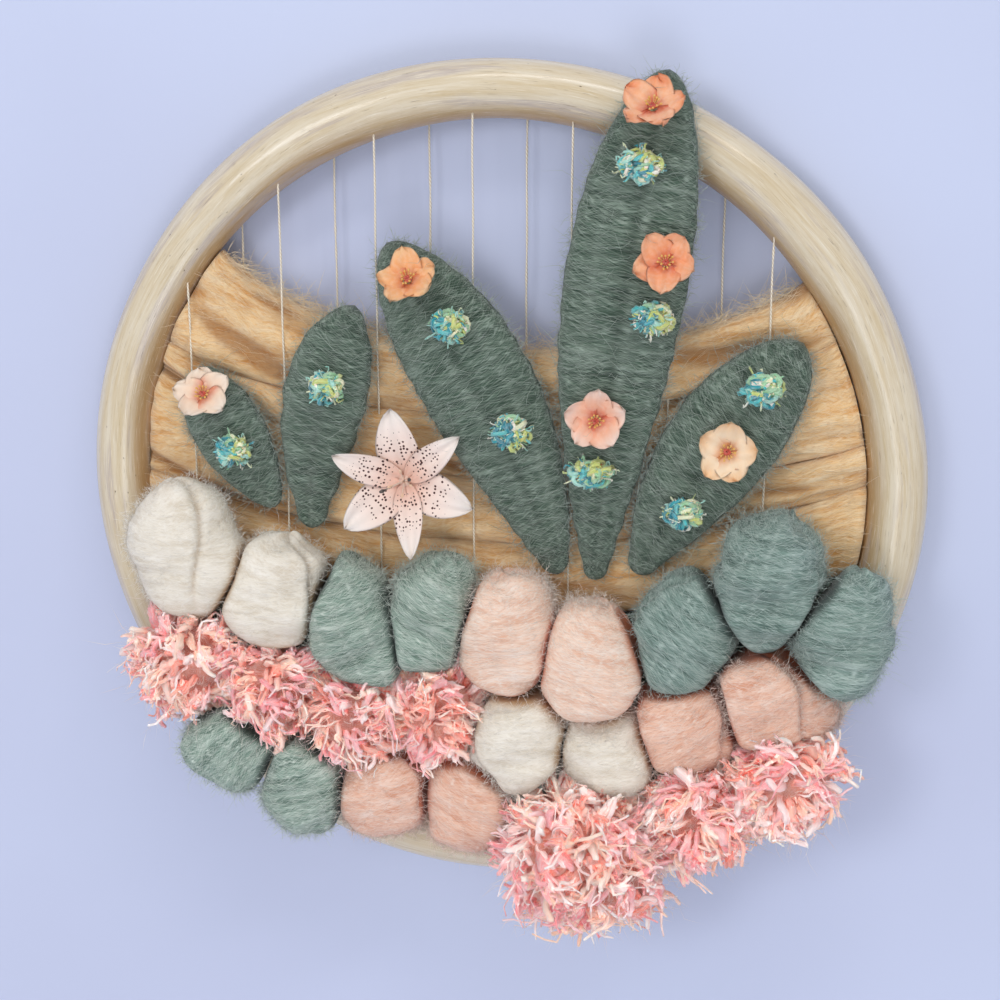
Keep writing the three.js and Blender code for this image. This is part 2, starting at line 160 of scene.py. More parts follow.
# ---- colours, as six-figure sRGB codes ----
STAGE_COLOURS = {"wall": "cfd8f2", "mottle": "c9d0ea", "floor": "d9dbe4"}
CANE_COLOURS = {
    "pale": "e2d6be",
    "straw": "d2be98",
    "lilac": "bdb0aa",
    "brown": "9b7f56",
    "inner_face_shade": "ad8145",
    "bleached": "f8f1e1",
    "hairline": "7d6345",
    "pit": "6b5537",
    "joint": "5a4530",
}
TWINE_COLOURS = {"cord": "ecdcc0", "valley": "cfb994", "ply": "faf1e0", "fleck": "fff6e6"}
WEAVE_COLOURS = {"low": "35453f", "high": "86a091", "fleck": "b9c9b6"}
# The last colour of each wool is painted shade, laid in its creases, contacts and fold valleys
WOOL_COLOURS = {
    "cream": {"pale": "fdf8ee", "body": "f1e9da", "shade": "ddd1bd", "crease_shade": "bf9a69"},
    "sage": {"pale": "dae5da", "body": "8fa698", "shade": "526b5f", "crease_shade": "2f453c"},
    "deep_sage": {"pale": "c3d4cc", "body": "7c948b", "shade": "4a635b", "crease_shade": "273b35"},
    "peach": {"pale": "fff2e6", "body": "f8d7c1", "shade": "e8b69a", "crease_shade": "d5713f"},
    "deep_peach": {"pale": "fde6d8", "body": "f2c4ab", "shade": "dc9d80", "crease_shade": "c05f34"},
    "tan": {"pale": "fee9c6", "body": "f5ce98", "shade": "dd9f59", "crease_shade": "9c5f26"},
    "leaf": {"pale": "a0b0a2", "body": "536859", "shade": "33453a", "crease_shade": "232f27"},
}
LEAF_FIBRES = "aebbb0"
# The pile: families of like dyes, painted shade at a strand's foot, the bed's two painted-shade colours and
# the thin thread
PILE_COLOURS = [
    ("f8c6c6", "f6afb1", "ffeae8", "f4a1a4"),
    ("f4a3a8", "f8c8cb", "ef8b92", "fbe0e2"),
    ("fff3e6", "fbdfca", "f8caae", "fbd5c6"),
    ("fff9f4", "fdeae6", "fef3f0", "f9cdc6"),
    ("f2937f", "f8b5a0", "fbd0bf", "f0856f"),
]
PILE_FOOT_SHADE = "e2795b"
PILE_BED_SHADE_COLOURS = ("c4634a", "e5957c")
PILE_THREAD = "fff3e4"
FRAYED_COLOURS = ("fff1e6", "f8c4b4", "fbdccb")
# Shares of a puff's reach where the bed lies and where the strands end, and the plane they stop at
PILE_BED = 0.81
PILE_REACH = 1.12
PILE_FRONT = -76.0
# Columns: soft yarn, looped thread and middling yarn. Rows: the share of the strands, half width, depth
# over width, size and turns of the crumpling wave, and length over the run's own
PILE_KINDS = {
    "share": [0.45, 0.25, 0.3],
    "wide": [1.6, 0.42, 0.85],
    "thin": [0.75, 1.0, 0.8],
    "crumple": [1.1, 2.4, 1.4],
    "pitch": [5.0, 10.0, 7.0],
    "reach": [0.65, 1.15, 1.0],
}
# Teal, turquoise, mint, lime, pale lime, ivory, deep teal and green
KNOT_COLOURS = ["27a0ae", "52c2c4", "a6decf", "c9d77c", "e7eec6", "f6f5e6", "1a8698", "9bd0a4"]
KNOT_HEART = "1f8f9c"
BLOSSOM_COLOURS = {
    "coral": ("fba470", "fdbd90", "dd5c2c"),
    "rose": ("ffe2d2", "fbba98", "df5f38"),
    "orange": ("fcb070", "fecb94", "df6c2a"),
    "apricot": ("fed2a0", "ffe5c2", "ea944c"),
    "peach": ("ffe0c4", "ffeedb", "e47a4e"),
}
BLOSSOM_TRIM = {"stamen": "f2c46a", "head": "e9b24a", "eye": "c8402c", "stalk": "8f9c72"}
LILY_COLOURS = ("fff7f0", "fde5d9", "f5bfa8")
LILY_TRIM = {"stamen": "f3d9c4", "head": "f4c9a6", "long": "f6e2d0", "dark": "2a1a17", "stalk": "f0c9b4"}
FRECKLE_COLOUR = "4a2420"


def linear(code):
    """The linear red, green, blue and alpha of a six-figure sRGB colour code."""
    value = np.array([int(code[i : i + 2], 16) for i in (0, 2, 4)]) / 255
    value = np.where(value <= 0.04045, value / 12.92, ((value + 0.055) / 1.055) ** 2.4)
    return np.append(value, 1.0)


# ---- the camera and the lamps ----
# Degrees to the right and up, millimetres from and above the hoop's centre, and the lens
CAMERA_TURN = 8.43
CAMERA_RISE = 16.08
CAMERA_DISTANCE = 892.4
CAMERA_AIM = -7.4
CAMERA_LENS = 66.1

# Columns: place, width and height in metres, power, colour
LAMPS = {
    "lamp_high": ((250, -1150, 2000), (1.6, 0.22), 9.0, (1.0, 0.985, 0.97)),
    "lamp_bright": ((1150, -1200, 1650), (0.4, 0.3), 2.3, (1.0, 0.985, 0.97)),
    "lamp_left": ((-1150, -2250, 800), (0.8, 0.8), 11.6, (0.98, 0.98, 1.0)),
    "lamp_low": ((300, -2300, -900), (0.9, 0.9), 9.0, (1.0, 1.0, 1.0)),
}
ROOM_LIGHT = (0.96, 0.97, 1, 1)
ROOM_STRENGTH = 0.66


def to_frame(points):
    """Points in millimetres from the hoop's centre become metres in the row frame."""
    return (np.asarray(points, float) + [0, 0, CENTRE_HEIGHT]) * MM


def set_camera():
    """A camera at a turn to the right, a rise and a distance from a point near the hoop's centre."""
    turn, rise = math.radians(CAMERA_TURN), math.radians(CAMERA_RISE)
    way = np.array([math.sin(turn) * math.cos(rise), -math.cos(turn) * math.cos(rise), math.sin(rise)])
    aim = np.array([0, 0, CAMERA_AIM])
    data = bpy.data.cameras.new("camera")
    data.lens = CAMERA_LENS
    data.sensor_width = 36
    camera = bpy.data.objects.new("camera", data)
    camera.location = to_frame(aim + way * CAMERA_DISTANCE)
    camera.rotation_euler = Vector(-way).to_track_quat("-Z", "Y").to_euler()
    bpy.context.collection.objects.link(camera)
    bpy.context.scene.camera = camera


def set_lamp(name, place, size, power, colour):
    """A soft rectangular lamp at a place in millimetres, facing the hoop's centre."""
    data = bpy.data.lights.new(name, "AREA")
    data.shape = "RECTANGLE"
    data.size, data.size_y = size
    data.energy = power
    data.color = colour
    lamp = bpy.data.objects.new(name, data)
    lamp.location = to_frame(place)
    lamp.rotation_euler = Vector(-np.array(place, float)).to_track_quat("-Z", "Y").to_euler()
    bpy.context.collection.objects.link(lamp)


# ---- node building ----
def feed(tree, socket, value):
    """An input socket linked to another node's output, or set to a value."""
    if isinstance(value, bpy.types.NodeSocket):
        tree.links.new(value, socket)
    else:
        socket.default_value = value


def add_node(tree, kind, inputs=None, **settings):
    """A shader node of a kind, with its settings, and then its inputs fed."""
    node = tree.nodes.new("ShaderNode" + kind)
    for key, value in settings.items():
        setattr(node, key, value)
    for key, value in (inputs or {}).items():
        feed(tree, node.inputs[key], value)
    return node


def maths(tree, operation, first, second=0.0, third=0.0):
    """The result socket of one sum on up to three values."""
    node = add_node(tree, "Math", {0: first, 1: second, 2: third}, operation=operation)
    return node.outputs[0]


def between(tree, value, low, high, to_low=0.0, to_high=1.0):
    """A value's place from low to high, eased and kept inside to_low and to_high."""
    inputs = {"Value": value, "From Min": low, "From Max": high, "To Min": to_low, "To Max": to_high}
    return add_node(tree, "MapRange", inputs, interpolation_type="SMOOTHSTEP").outputs[0]


def mixed(tree, share, first, second, blend="MIX"):
    """Two colours mixed by a share."""
    inputs = {0: share, 6: first, 7: second}
    return add_node(tree, "Mix", inputs, data_type="RGBA", blend_type=blend).outputs[2]


def noise(tree, vector, scale, detail=2.0, roughness=0.5):
    """A noise value, for a vector socket."""
    inputs = {"Vector": vector, "Scale": scale, "Detail": detail, "Roughness": roughness}
    return add_node(tree, "TexNoise", inputs).outputs["Fac"]


def noise_at(tree, x, y, z, detail, roughness):
    """A noise value at a place given as three values."""
    vector = add_node(tree, "CombineXYZ", {0: x, 1: y, 2: z}).outputs[0]
    return noise(tree, vector, 1.0, detail, roughness)


def fibre_map(tree):
    """The piece's fibre map, whose first value mostly runs along the fibres, in millimetres."""
    return add_node(tree, "UVMap", uv_map="fibre").outputs[0]


def parts_of(tree, vector):
    """The three values of a vector."""
    return add_node(tree, "SeparateXYZ", {0: vector}).outputs


def object_place(tree):
    """The place on the piece, in Object coordinates."""
    return add_node(tree, "TexCoord").outputs["Object"]


def attribute(tree, name, output="Fac"):
    """A named value that the piece's vertices carry."""
    return add_node(tree, "Attribute", attribute_name=name).outputs[output]


def new_group(name, inputs, outputs):
    """An empty node group with named inputs and outputs, and its two end nodes."""
    group = bpy.data.node_groups.new(name, "ShaderNodeTree")
    for label, kind, value in inputs:
        socket = group.interface.new_socket(label, in_out="INPUT", socket_type=kind)
        if value is not None:
            socket.default_value = value
    for label, kind in outputs:
        group.interface.new_socket(label, in_out="OUTPUT", socket_type=kind)
    return group, group.nodes.new("NodeGroupInput"), group.nodes.new("NodeGroupOutput")


VECTOR, FLOAT, COLOUR = "NodeSocketVector", "NodeSocketFloat", "NodeSocketColor"


def combed_group():
    """Combed wool on the fibre map, whose first value runs along the fibres in millimetres. Hairs are
    the thin lines where drawn-out noise crosses its middle value, in layers that slant and crimp
    against each other. Tone is broad soft noise along the wool, and Gaps a sparser layer of lines."""
    inputs = [("Map", VECTOR, None), ("Width", FLOAT, 1.2), ("Length", FLOAT, 9.0)]
    inputs += [("Sway", FLOAT, 4.0), ("Crimp", FLOAT, 1.2), ("Cross", FLOAT, 0.2)]
    outputs = [("Tone", FLOAT), ("Hairs", FLOAT), ("Gaps", FLOAT), ("Grain", FLOAT), ("Height", FLOAT)]
    tree, given, result = new_group("combed_wool", inputs, outputs)
    fibre = given.outputs["Map"]
    parts = parts_of(tree, fibre)
    bend = maths(tree, "SUBTRACT", noise(tree, fibre, 0.035, 1.0), 0.5)
    across = maths(tree, "MULTIPLY_ADD", bend, given.outputs["Sway"], parts[1])
    crimp = maths(tree, "SUBTRACT", noise(tree, fibre, 0.21, 1.0), 0.5)
    crimp = maths(tree, "MULTIPLY", crimp, given.outputs["Crimp"])

    def layer(slant, swing, depth, wide=1.0, long=1.0, detail=0.0):
        lean = maths(tree, "MULTIPLY", given.outputs["Cross"], slant)
        tilted = maths(tree, "MULTIPLY_ADD", parts[0], lean, across)
        tilted = maths(tree, "MULTIPLY_ADD", crimp, swing, tilted)
        width = maths(tree, "MULTIPLY", given.outputs["Width"], wide)
        length = maths(tree, "MULTIPLY", given.outputs["Length"], long)
        drawn = maths(tree, "DIVIDE", parts[0], length)
        return noise_at(tree, drawn, maths(tree, "DIVIDE", tilted, width), depth, detail, 0.6)

    lines = []
    for slant, swing, depth in ((0.3, 1.0, 0.0), (-1.0, -0.8, 31.0), (1.2, 0.5, 67.0), (-0.2, -1.3, 95.0)):
        middle = maths(tree, "ABSOLUTE", maths(tree, "SUBTRACT", layer(slant, swing, depth), 0.5))
        lines.append(between(tree, middle, 0.085, 0.0))
    hairs = maths(tree, "ADD", maths(tree, "ADD", lines[0], lines[1]), lines[2])
    hairs = maths(tree, "MULTIPLY", hairs, 0.6)
    tone = between(tree, layer(0.1, 1.0, 12.0, 3.6, 3.0, 2.0), 0.3, 0.7)
    grain = noise(tree, fibre, 1.9, 2.0, 0.8)
    height = maths(tree, "MULTIPLY_ADD", tone, 2.0, maths(tree, "MULTIPLY_ADD", hairs, 0.7, grain))
    height = maths(tree, "MULTIPLY_ADD", lines[3], -0.5, height)
    made = {"Tone": tone, "Hairs": hairs, "Gaps": lines[3], "Grain": grain, "Height": height}
    for label, value in made.items():
        feed(tree, result.inputs[label], value)
    return tree


def dyed_group():
    """Dyed wool colour: from shade to body to pale by the tone, with pale hairs and shaded gaps over
    it, flecked by the grain, clouded by slow noise in Object coordinates, and turned to a painted
    shade where the wool is pinched into creases and against its neighbours."""
    inputs = [(label, COLOUR, (0.5, 0.5, 0.5, 1)) for label in ("Pale", "Body", "Shade", "Crease_shade")]
    inputs += [("Tone", FLOAT, 0.5), ("Hairs", FLOAT, 0.0), ("Gaps", FLOAT, 0.0), ("Grain", FLOAT, 0.5)]
    inputs += [("Fuzz", FLOAT, 0.5), ("Crease_shade_share", FLOAT, 0.0), ("Place", VECTOR, None)]
    tree, given, result = new_group("dyed_wool", inputs, [("Colour", COLOUR)])
    ask = given.outputs
    cloud = maths(tree, "SUBTRACT", noise(tree, ask["Place"], 55.0, 2.0), 0.5)
    soft = maths(tree, "MULTIPLY_ADD", maths(tree, "SUBTRACT", ask["Tone"], 0.5), 0.6, 0.42)
    lifted = maths(tree, "MULTIPLY_ADD", cloud, 0.6, soft)
    low = mixed(tree, between(tree, lifted, 0.0, 0.5), ask["Shade"], ask["Body"])
    base = mixed(tree, between(tree, lifted, 0.5, 1.0), low, ask["Pale"])
    base = mixed(tree, maths(tree, "MULTIPLY", ask["Gaps"], ask["Fuzz"]), base, ask["Shade"])
    base = mixed(tree, maths(tree, "MULTIPLY", ask["Hairs"], ask["Fuzz"]), base, ask["Pale"])
    base = mixed(tree, between(tree, ask["Grain"], 0.56, 0.75, 0.0, 0.35), base, ask["Pale"])
    base = mixed(tree, between(tree, ask["Grain"], 0.44, 0.28, 0.0, 0.35), base, ask["Shade"])
    # Painted shade, laid where the wool is pinched into creases and contacts
    pinch = maths(tree, "POWER", ask["Crease_shade_share"], 1.6)
    feed(tree, result.inputs["Colour"], mixed(tree, pinch, base, ask["Crease_shade"]))
    return tree


COMBED = combed_group()
DYED = dyed_group()


def new_material(name):
    """A material with an empty tree, its Principled shader and its output."""
    material = bpy.data.materials.new(name)
    material.use_nodes = True
    tree = material.node_tree
    tree.nodes.clear()
    shader = add_node(tree, "BsdfPrincipled")
    output = add_node(tree, "OutputMaterial", {"Surface": shader.outputs[0]})
    return material, tree, shader, output


def wire(tree, shader, **sockets):
    """Links or sets the shader's inputs, named with underscores for spaces."""
    for label, value in sockets.items():
        feed(tree, shader.inputs[label.replace("_", " ")], value)


def bump(tree, height, depth):
    """A normal from a height, which is depth millimetres deep."""
    return add_node(tree, "Bump", {"Height": height, "Distance": depth * MM}).outputs["Normal"]


def wool_material(name, colours, fuzz=0.6, depth=0.2, sheen=0.25, **comb):
    """Wool: combed strands on the fibre map, coloured by the dyed group, matt with a soft sheen."""
    material, tree, shader, _ = new_material(name)
    sizes = {label.capitalize(): size for label, size in comb.items()}
    given = {"Map": fibre_map(tree), **sizes}
    combed = add_node(tree, "Group", given, node_tree=COMBED).outputs
    given = {label.capitalize(): linear(code) for label, code in colours.items()}
    given.update({label: combed[label] for label in ("Tone", "Hairs", "Gaps", "Grain")})
    given.update({"Fuzz": fuzz, "Crease_shade_share": attribute(tree, "pinch"), "Place": object_place(tree)})
    dyed = add_node(tree, "Group", given, node_tree=DYED).outputs
    wire(tree, shader, Base_Color=dyed["Colour"], Normal=bump(tree, combed["Height"], depth))
    wire(tree, shader, Roughness=0.95, Specular_IOR_Level=0.1, Sheen_Weight=sheen, Sheen_Roughness=0.5)
    return material


def fluff_material(name, colour):
    """Loose fibres: one dye with slow changes along the piece."""
    material, tree, shader, _ = new_material(name)
    pale = linear(colour)
    deep = pale * [0.86, 0.86, 0.86, 1]
    share = between(tree, noise(tree, object_place(tree), 400.0), 0.35, 0.65)
    wire(tree, shader, Base_Color=mixed(tree, share, deep, pale), Roughness=0.85)
    wire(tree, shader, Specular_IOR_Level=0.1, Sheen_Weight=0.5, Sheen_Roughness=0.5)
    return material


def yarn_material(name, depth, light, sheen, width=0.8, gloss=0.7, soft=0.0):
    """Cut yarn and cloth trim: the tint attribute, with fine threads along the fibre map that lighten
    it, and a little painted shade between them. Soft yarn passes light on inside it, with a faint painted
    glow of its own colour for the light that a loose heap scatters."""
    material, tree, shader, _ = new_material(name)
    tint = attribute(tree, "tint", "Color")
    comb = {"Map": fibre_map(tree), "Width": width, "Length": 6.0, "Sway": 1.0, "Crimp": 0.6, "Cross": 0.1}
    combed = add_node(tree, "Group", comb, node_tree=COMBED).outputs
    dark = mixed(tree, 1.0, tint, (0.97, 0.8, 0.74, 1), "MULTIPLY")
    # Painted shade in the grooves between the threads
    colour = mixed(tree, maths(tree, "MULTIPLY", combed["Gaps"], 0.6), tint, dark)
    colour = mixed(tree, maths(tree, "MULTIPLY", combed["Hairs"], light), colour, (1, 0.97, 0.94, 1))
    wire(tree, shader, Base_Color=colour, Roughness=gloss, Normal=bump(tree, combed["Height"], depth))
    wire(tree, shader, Specular_IOR_Level=0.15, Sheen_Weight=sheen, Sheen_Roughness=0.5)
    if soft:
        shader.subsurface_method = "BURLEY"
        wire(tree, shader, Subsurface_Weight=soft, Subsurface_Scale=4.0 * MM)
        wire(tree, shader, Subsurface_Radius=(1.0, 0.55, 0.5))
        # A faint painted glow that lifts the yarn's shadows
        wire(tree, shader, Emission_Color=colour, Emission_Strength=0.045 * soft)
    return material


# ---- shapes ----
class Form:
    """Vertices in millimetres, face index arrays, a map value at each face corner and named values at
    each vertex."""

    def __init__(self, vertices, faces, maps, values):
        self.vertices, self.faces, self.maps, self.values = vertices, faces, maps, values


def gridded(*parts):
    """Values that are broadcast against each other and stacked as the last axis."""
    return np.stack(np.broadcast_arrays(*parts), -1)


def unit(vectors):
    """Vectors at length one."""
    return vectors / np.maximum(np.linalg.norm(vectors, axis=-1, keepdims=True), 1e-9)


def joined(forms):
    """Several forms as one, with their face numbers moved along."""
    starts = np.cumsum([0] + [len(form.vertices) for form in forms])
    faces = [face + start for form, start in zip(forms, starts) for face in form.faces]
    maps = [corner for form in forms for corner in form.maps]
    names = forms[0].values
    values = {name: np.concatenate([form.values[name] for form in forms]) for name in names}
    return Form(np.concatenate([form.vertices for form in forms]), faces, maps, values)


def outward(form):
    """The form with its faces turned so that its signed volume, summed over a fan of each face, is
    more than nought."""
    volume = 0.0
    for face in form.faces:
        for k in range(1, face.shape[1] - 1):
            a, b, c = (form.vertices[face[:, j]] for j in (0, k, k + 1))
            volume += np.einsum("ij,ij->i", a, np.cross(b, c)).sum()
    if volume < 0:
        form.faces = [face[:, ::-1] for face in form.faces]
        form.maps = [corner[:, ::-1] for corner in form.maps]
    return form


def cells(grid):
    """The four corners of each cell of a grid, or of many grids, going round the cell."""
    corners = [grid[..., :-1, :-1, :], grid[..., :-1, 1:, :], grid[..., 1:, 1:, :], grid[..., 1:, :-1, :]]
    return np.stack(corners, -2).reshape(-1, 4, grid.shape[-1])


def capped_faces(rows, columns):
    """The faces of a first pole, rows of points that wrap round, and a last pole, numbered in that
    order: the quads between the rows, and a fan at each pole."""
    index = np.arange(rows * columns).reshape(rows, columns) + 1
    index = np.pad(index, ((0, 0), (0, 1)), mode="wrap")
    here, there = index[:, :-1], index[:, 1:]
    first_fan = np.stack([0 * here[0], there[0], here[0]], -1)
    last_fan = np.stack([0 * here[0] + rows * columns + 1, here[-1], there[-1]], -1)
    return cells(index[..., None])[..., 0], first_fan, last_fan


def closed_grid(points, across, along, **values):
    """A closed surface from rows of points that wrap round, the first and last row each drawn to one
    pole. The maps have one more column, for the seam."""
    grid = gridded(across, along)
    first_map = np.stack([grid[0, :-1], grid[1, 1:], grid[1, :-1]], 1)
    last_map = np.stack([grid[-1, :-1], grid[-2, :-1], grid[-2, 1:]], 1)

    def flat(array):
        return np.concatenate([array[0, :1], array[1:-1].reshape(-1, *array.shape[2:]), array[-1, :1]])

    faces = [*capped_faces(len(points) - 2, points.shape[1])]
    values = {name: flat(array) for name, array in values.items()}
    return outward(Form(flat(points), faces, [cells(grid[1:-1]), first_map, last_map], values))


def looped_grid(points, across, along):
    """A closed surface from a grid that wraps both ways. The maps have one more row and column."""
    rows, columns = points.shape[:2]
    index = np.pad(np.arange(rows * columns).reshape(rows, columns), ((0, 1), (0, 1)), mode="wrap")
    faces, maps = cells(index[..., None])[..., 0], cells(gridded(across, along))
    return outward(Form(points.reshape(-1, 3), [faces], [maps], {}))


def strand_maps(lines, width, sides):
    """The fibre maps of many strands, each a stretch of its own: the length along the line, and a
    share of the girth round it."""
    number = np.arange(len(lines))[:, None]
    step = np.linalg.norm(np.diff(lines, axis=1), axis=2)
    length = np.concatenate([0 * number, np.cumsum(step, 1)], 1) + number * 37.0 % 211
    girth = np.linspace(0, 1, sides + 1) * 4 * width.max(1)[:, None] + number * 13.0 % 97
    grid = gridded(length[:, :, None], girth[:, None, :])
    foot = np.stack([grid[:, 0, :-1], grid[:, 0, 1:], grid[:, 0, :-1]], 2)
    tip = np.stack([grid[:, -1, :-1], grid[:, -1, :-1], grid[:, -1, 1:]], 2)
    return [cells(grid), np.concatenate([foot, tip], 1).reshape(-1, 3, 2)]


def strands(lines, sideways, width, depth=None, tint=None, sides=4, blunt=0.0, pointed=False, ragged=1.0):
    """Many closed strands at once. Each has rings of an ellipse of half width by half depth about its
    line, and a pole at each end, which stands out from the end ring by blunt times the width. A
    pointed strand has its poles at the two ends of its line, and rings at the points between. Ragged
    multiplies how far each corner of a ring is out. Lines is (strands, rings, 3), and the others are
    spread over strands and rings."""
    sideways = np.broadcast_to(sideways, lines.shape)
    width = np.broadcast_to(width, lines.shape[:2])
    depth = width if depth is None else depth
    way = unit(np.gradient(lines, axis=1))
    foot, tip = lines[:, :1], lines[:, -1:]
    if pointed:
        inner = slice(1, -1)
        lines, sideways, way = lines[:, inner], sideways[:, inner], way[:, inner]
        width, depth = width[:, inner], depth[:, inner]
    else:
        foot = foot - way[:, :1] * width[:, :1, None] * blunt
        tip = tip + way[:, -1:] * width[:, -1:, None] * blunt
    count, rings = lines.shape[:2]
    side = unit(sideways - way * (sideways * way).sum(-1, keepdims=True))
    face = np.cross(way, side)
    angle = 2 * np.pi * np.arange(sides) / sides
    ring = side[:, :, None] * (width[..., None] * np.cos(angle))[..., None]
    ring = ring + face[:, :, None] * (depth[..., None] * np.sin(angle))[..., None]
    ring = ring * np.broadcast_to(ragged, (count, rings, sides))[..., None]
    body = (lines[:, :, None] + ring).reshape(count, rings * sides, 3)
    vertices = np.concatenate([foot, body, tip], 1)
    starts = np.arange(count)[:, None, None] * vertices.shape[1]
    quads, *fans = capped_faces(rings, sides)
    faces = [(quads + starts).reshape(-1, 4), (np.concatenate(fans) + starts).reshape(-1, 3)]
    values = {}
    if tint is not None:
        tint = np.broadcast_to(tint, (count, rings, 4))
        spread = np.repeat(tint, sides, axis=1)
        values["tint"] = np.concatenate([tint[:, :1], spread, tint[:, -1:]], 1).reshape(-1, 4)
    return outward(Form(vertices.reshape(-1, 3), faces, strand_maps(lines, width, sides), values))


def make(name, form, material, slot, *nodes):
    """A piece of the hanging from a form: the mesh in the row frame, riding on the one body."""
    mesh = bpy.data.meshes.new(name)
    corners = np.concatenate([face.ravel() for face in form.faces])
    sizes = np.concatenate([np.full(len(face), face.shape[1]) for face in form.faces])
    mesh.vertices.add(len(form.vertices))
    mesh.vertices.foreach_set("co", to_frame(form.vertices).astype(np.float32).ravel())
    mesh.loops.add(len(corners))
    mesh.loops.foreach_set("vertex_index", corners.astype(np.int32))
    mesh.polygons.add(len(sizes))
    mesh.polygons.foreach_set("loop_start", (np.cumsum(sizes) - sizes).astype(np.int32))
    mesh.update(calc_edges=True)
    mesh.polygons.foreach_set("use_smooth", np.ones(len(sizes), bool))
    layer = mesh.uv_layers.new(name="fibre")
    corner_map = np.concatenate([corner.reshape(-1, 2) for corner in form.maps])
    layer.data.foreach_set("uv", corner_map.astype(np.float32).ravel())
    for label, value in form.values.items():
        kind, key = ("FLOAT", "value") if value.ndim == 1 else ("FLOAT_COLOR", "color")
        carried = mesh.attributes.new(label, kind, "POINT")
        carried.data.foreach_set(key, value.astype(np.float32).ravel())
    mesh.validate()
    mesh.materials.append(material)
    piece = bpy.data.objects.new(name, mesh)
    bpy.context.collection.objects.link(piece)
    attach(piece, "root")
    if nodes:
        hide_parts(*nodes)
    return piece


def sway(points, size, seed):
    """Smooth noise from about -1 to 1: the sum of sine waves of about one size in random directions."""
    waves = 7
    rng = np.random.default_rng(seed)
    ways = unit(rng.normal(size=(waves, points.shape[-1])))
    pitch = 2 * np.pi / size * rng.uniform(0.6, 1.5, waves)
    phase = rng.uniform(0, 2 * np.pi, waves)
    return np.sin(points @ (ways * pitch[:, None]).T + phase).sum(-1) / math.sqrt(waves) / 0.9


def eased(value, low, high):
    """A value's place from low to high, eased at both ends."""
    share = np.clip((value - low) / (high - low), 0, 1)
    return share * share * (3 - 2 * share)


def powered(wave, power):
    """A wave's size raised to a power, with its sign kept."""
    return np.sign(wave) * np.abs(wave) ** power


def even_shares(count):
    """Shares from 0 to 1 along every strand, to be spread over strands and axes."""
    return np.linspace(0, 1, count)[None, :, None]


def around_rings(turn, radius, along):
    """Points for noise on a surface that wraps round: a circle of the radius, and the length along."""
    angle = 2 * np.pi * turn
    return gridded(radius * np.cos(angle), radius * np.sin(angle), along)


def ball_way(rows, columns):
    """Unit directions over a ball in rows from its front pole to its back one, and each row's angle
    from the pole."""
    fall = np.pi * np.linspace(0, 1, rows)[:, None]
    angle = 2 * np.pi * np.arange(columns)[None, :] / columns
    return gridded(np.sin(fall) * np.cos(angle), -np.cos(fall), np.sin(fall) * np.sin(angle)), fall


def square_to(way, rng):
    """A random direction square to each way."""
    return unit(np.cross(way, rng.normal(size=way.shape)))


def tinted(palette, picks):
    """The linear colours that the picks choose from a list of codes."""
    return np.array([linear(code) for code in palette])[picks]


# ---- fluff: loose fibres that lie along the wool and lift off it ----
def surface_samples(form, count, rng, keep, rim):
    """Random points on a form's quads that don't face straight back, by area, with the normal and the
    fibre direction at each. A rim of one puts most of them where the form turns away from the front."""
    quads = np.concatenate([face for face in form.faces if face.shape[1] == 4])
    a, b, c, d = (form.vertices[quads[:, k]] for k in range(4))
    normal = np.cross(c - a, d - b)
    area = np.linalg.norm(normal, axis=1)
    normal = unit(normal)
    weight = area * (1 - eased(normal[:, 1], 0.2, 0.6))
    weight = weight * (1 - rim * (1 - (1 - np.abs(normal[:, 1])) ** 2))
    if keep is not None:
        weight = weight * keep[quads].mean(1)
    chosen = rng.choice(len(quads), count, p=weight / weight.sum())
    s, t = rng.random((2, count, 1))
    a, b, c, d = a[chosen], b[chosen], c[chosen], d[chosen]
    point = (a * (1 - s) + b * s) * (1 - t) + (d * (1 - s) + c * s) * t
    return point, normal[chosen], unit(b - a + 1e-6)


# How far inside the surface a fibre starts
FLUFF_INSET = 0.4


def fluff_form(samples, rng, length, lift, radius, curl, points):
    """Fibres from samples of a surface. Each starts just inside, follows the fibre direction either
    way with a random slant, winds in a loose wave, and lifts off the surface as it goes, drawn out to
    a point."""
    point, normal, way = samples
    count = len(point)
    way = way * rng.choice([-1.0, 1.0], (count, 1))
    side = np.cross(normal, way)
    way = unit(way + side * rng.normal(0, curl, (count, 1)))
    side = np.cross(normal, way)
    reach = rng.gamma(4.0, 0.25, (count, 1)) * length
    rise = rng.gamma(1.5, 0.66, (count, 1)) * lift
    bend = rng.normal(0, 0.25, (count, 1)) * reach
    wave = rng.normal(0, 0.09, (count, 1)) * reach
    turn = rng.uniform(3.5, 7.5, (count, 1))
    start = rng.uniform(0, 6.28, (count, 1))
    share = even_shares(points)
    lines = point[:, None] - normal[:, None] * FLUFF_INSET
    lines = lines + way[:, None] * reach[:, None] * share
    winding = np.sin(turn[:, None] * share + start[:, None]) - np.sin(start[:, None])
    lines = lines + side[:, None] * (bend[:, None] * share**2 + wave[:, None] * winding)
    lines = lines + normal[:, None] * (rise[:, None] + FLUFF_INSET) * (1.7 * share - 0.7 * share**2)
    lines[..., 1] = np.minimum(lines[..., 1], WALL_PLANE - 1)
    thick = radius * rng.uniform(0.6, 1.4, (count, 1))
    return strands(lines, side[:, None], thick, sides=3, pointed=True)


def fluff_over(form, rows, rng, times=1, keep=None, along=None):
    """Loose fibres over a form: one form of them for each row of a table, its count multiplied by
    times. Along gives the fibre direction at points where the form's own isn't wanted."""
    forms = []
    for count, length, lift, radius, curl, points, rim in rows:
        point, normal, way = surface_samples(form, int(count * times), rng, keep, rim)
        way = along(point) if along else way
        forms.append(fluff_form((point, normal, way), rng, length, lift, radius, curl, points))
    return forms


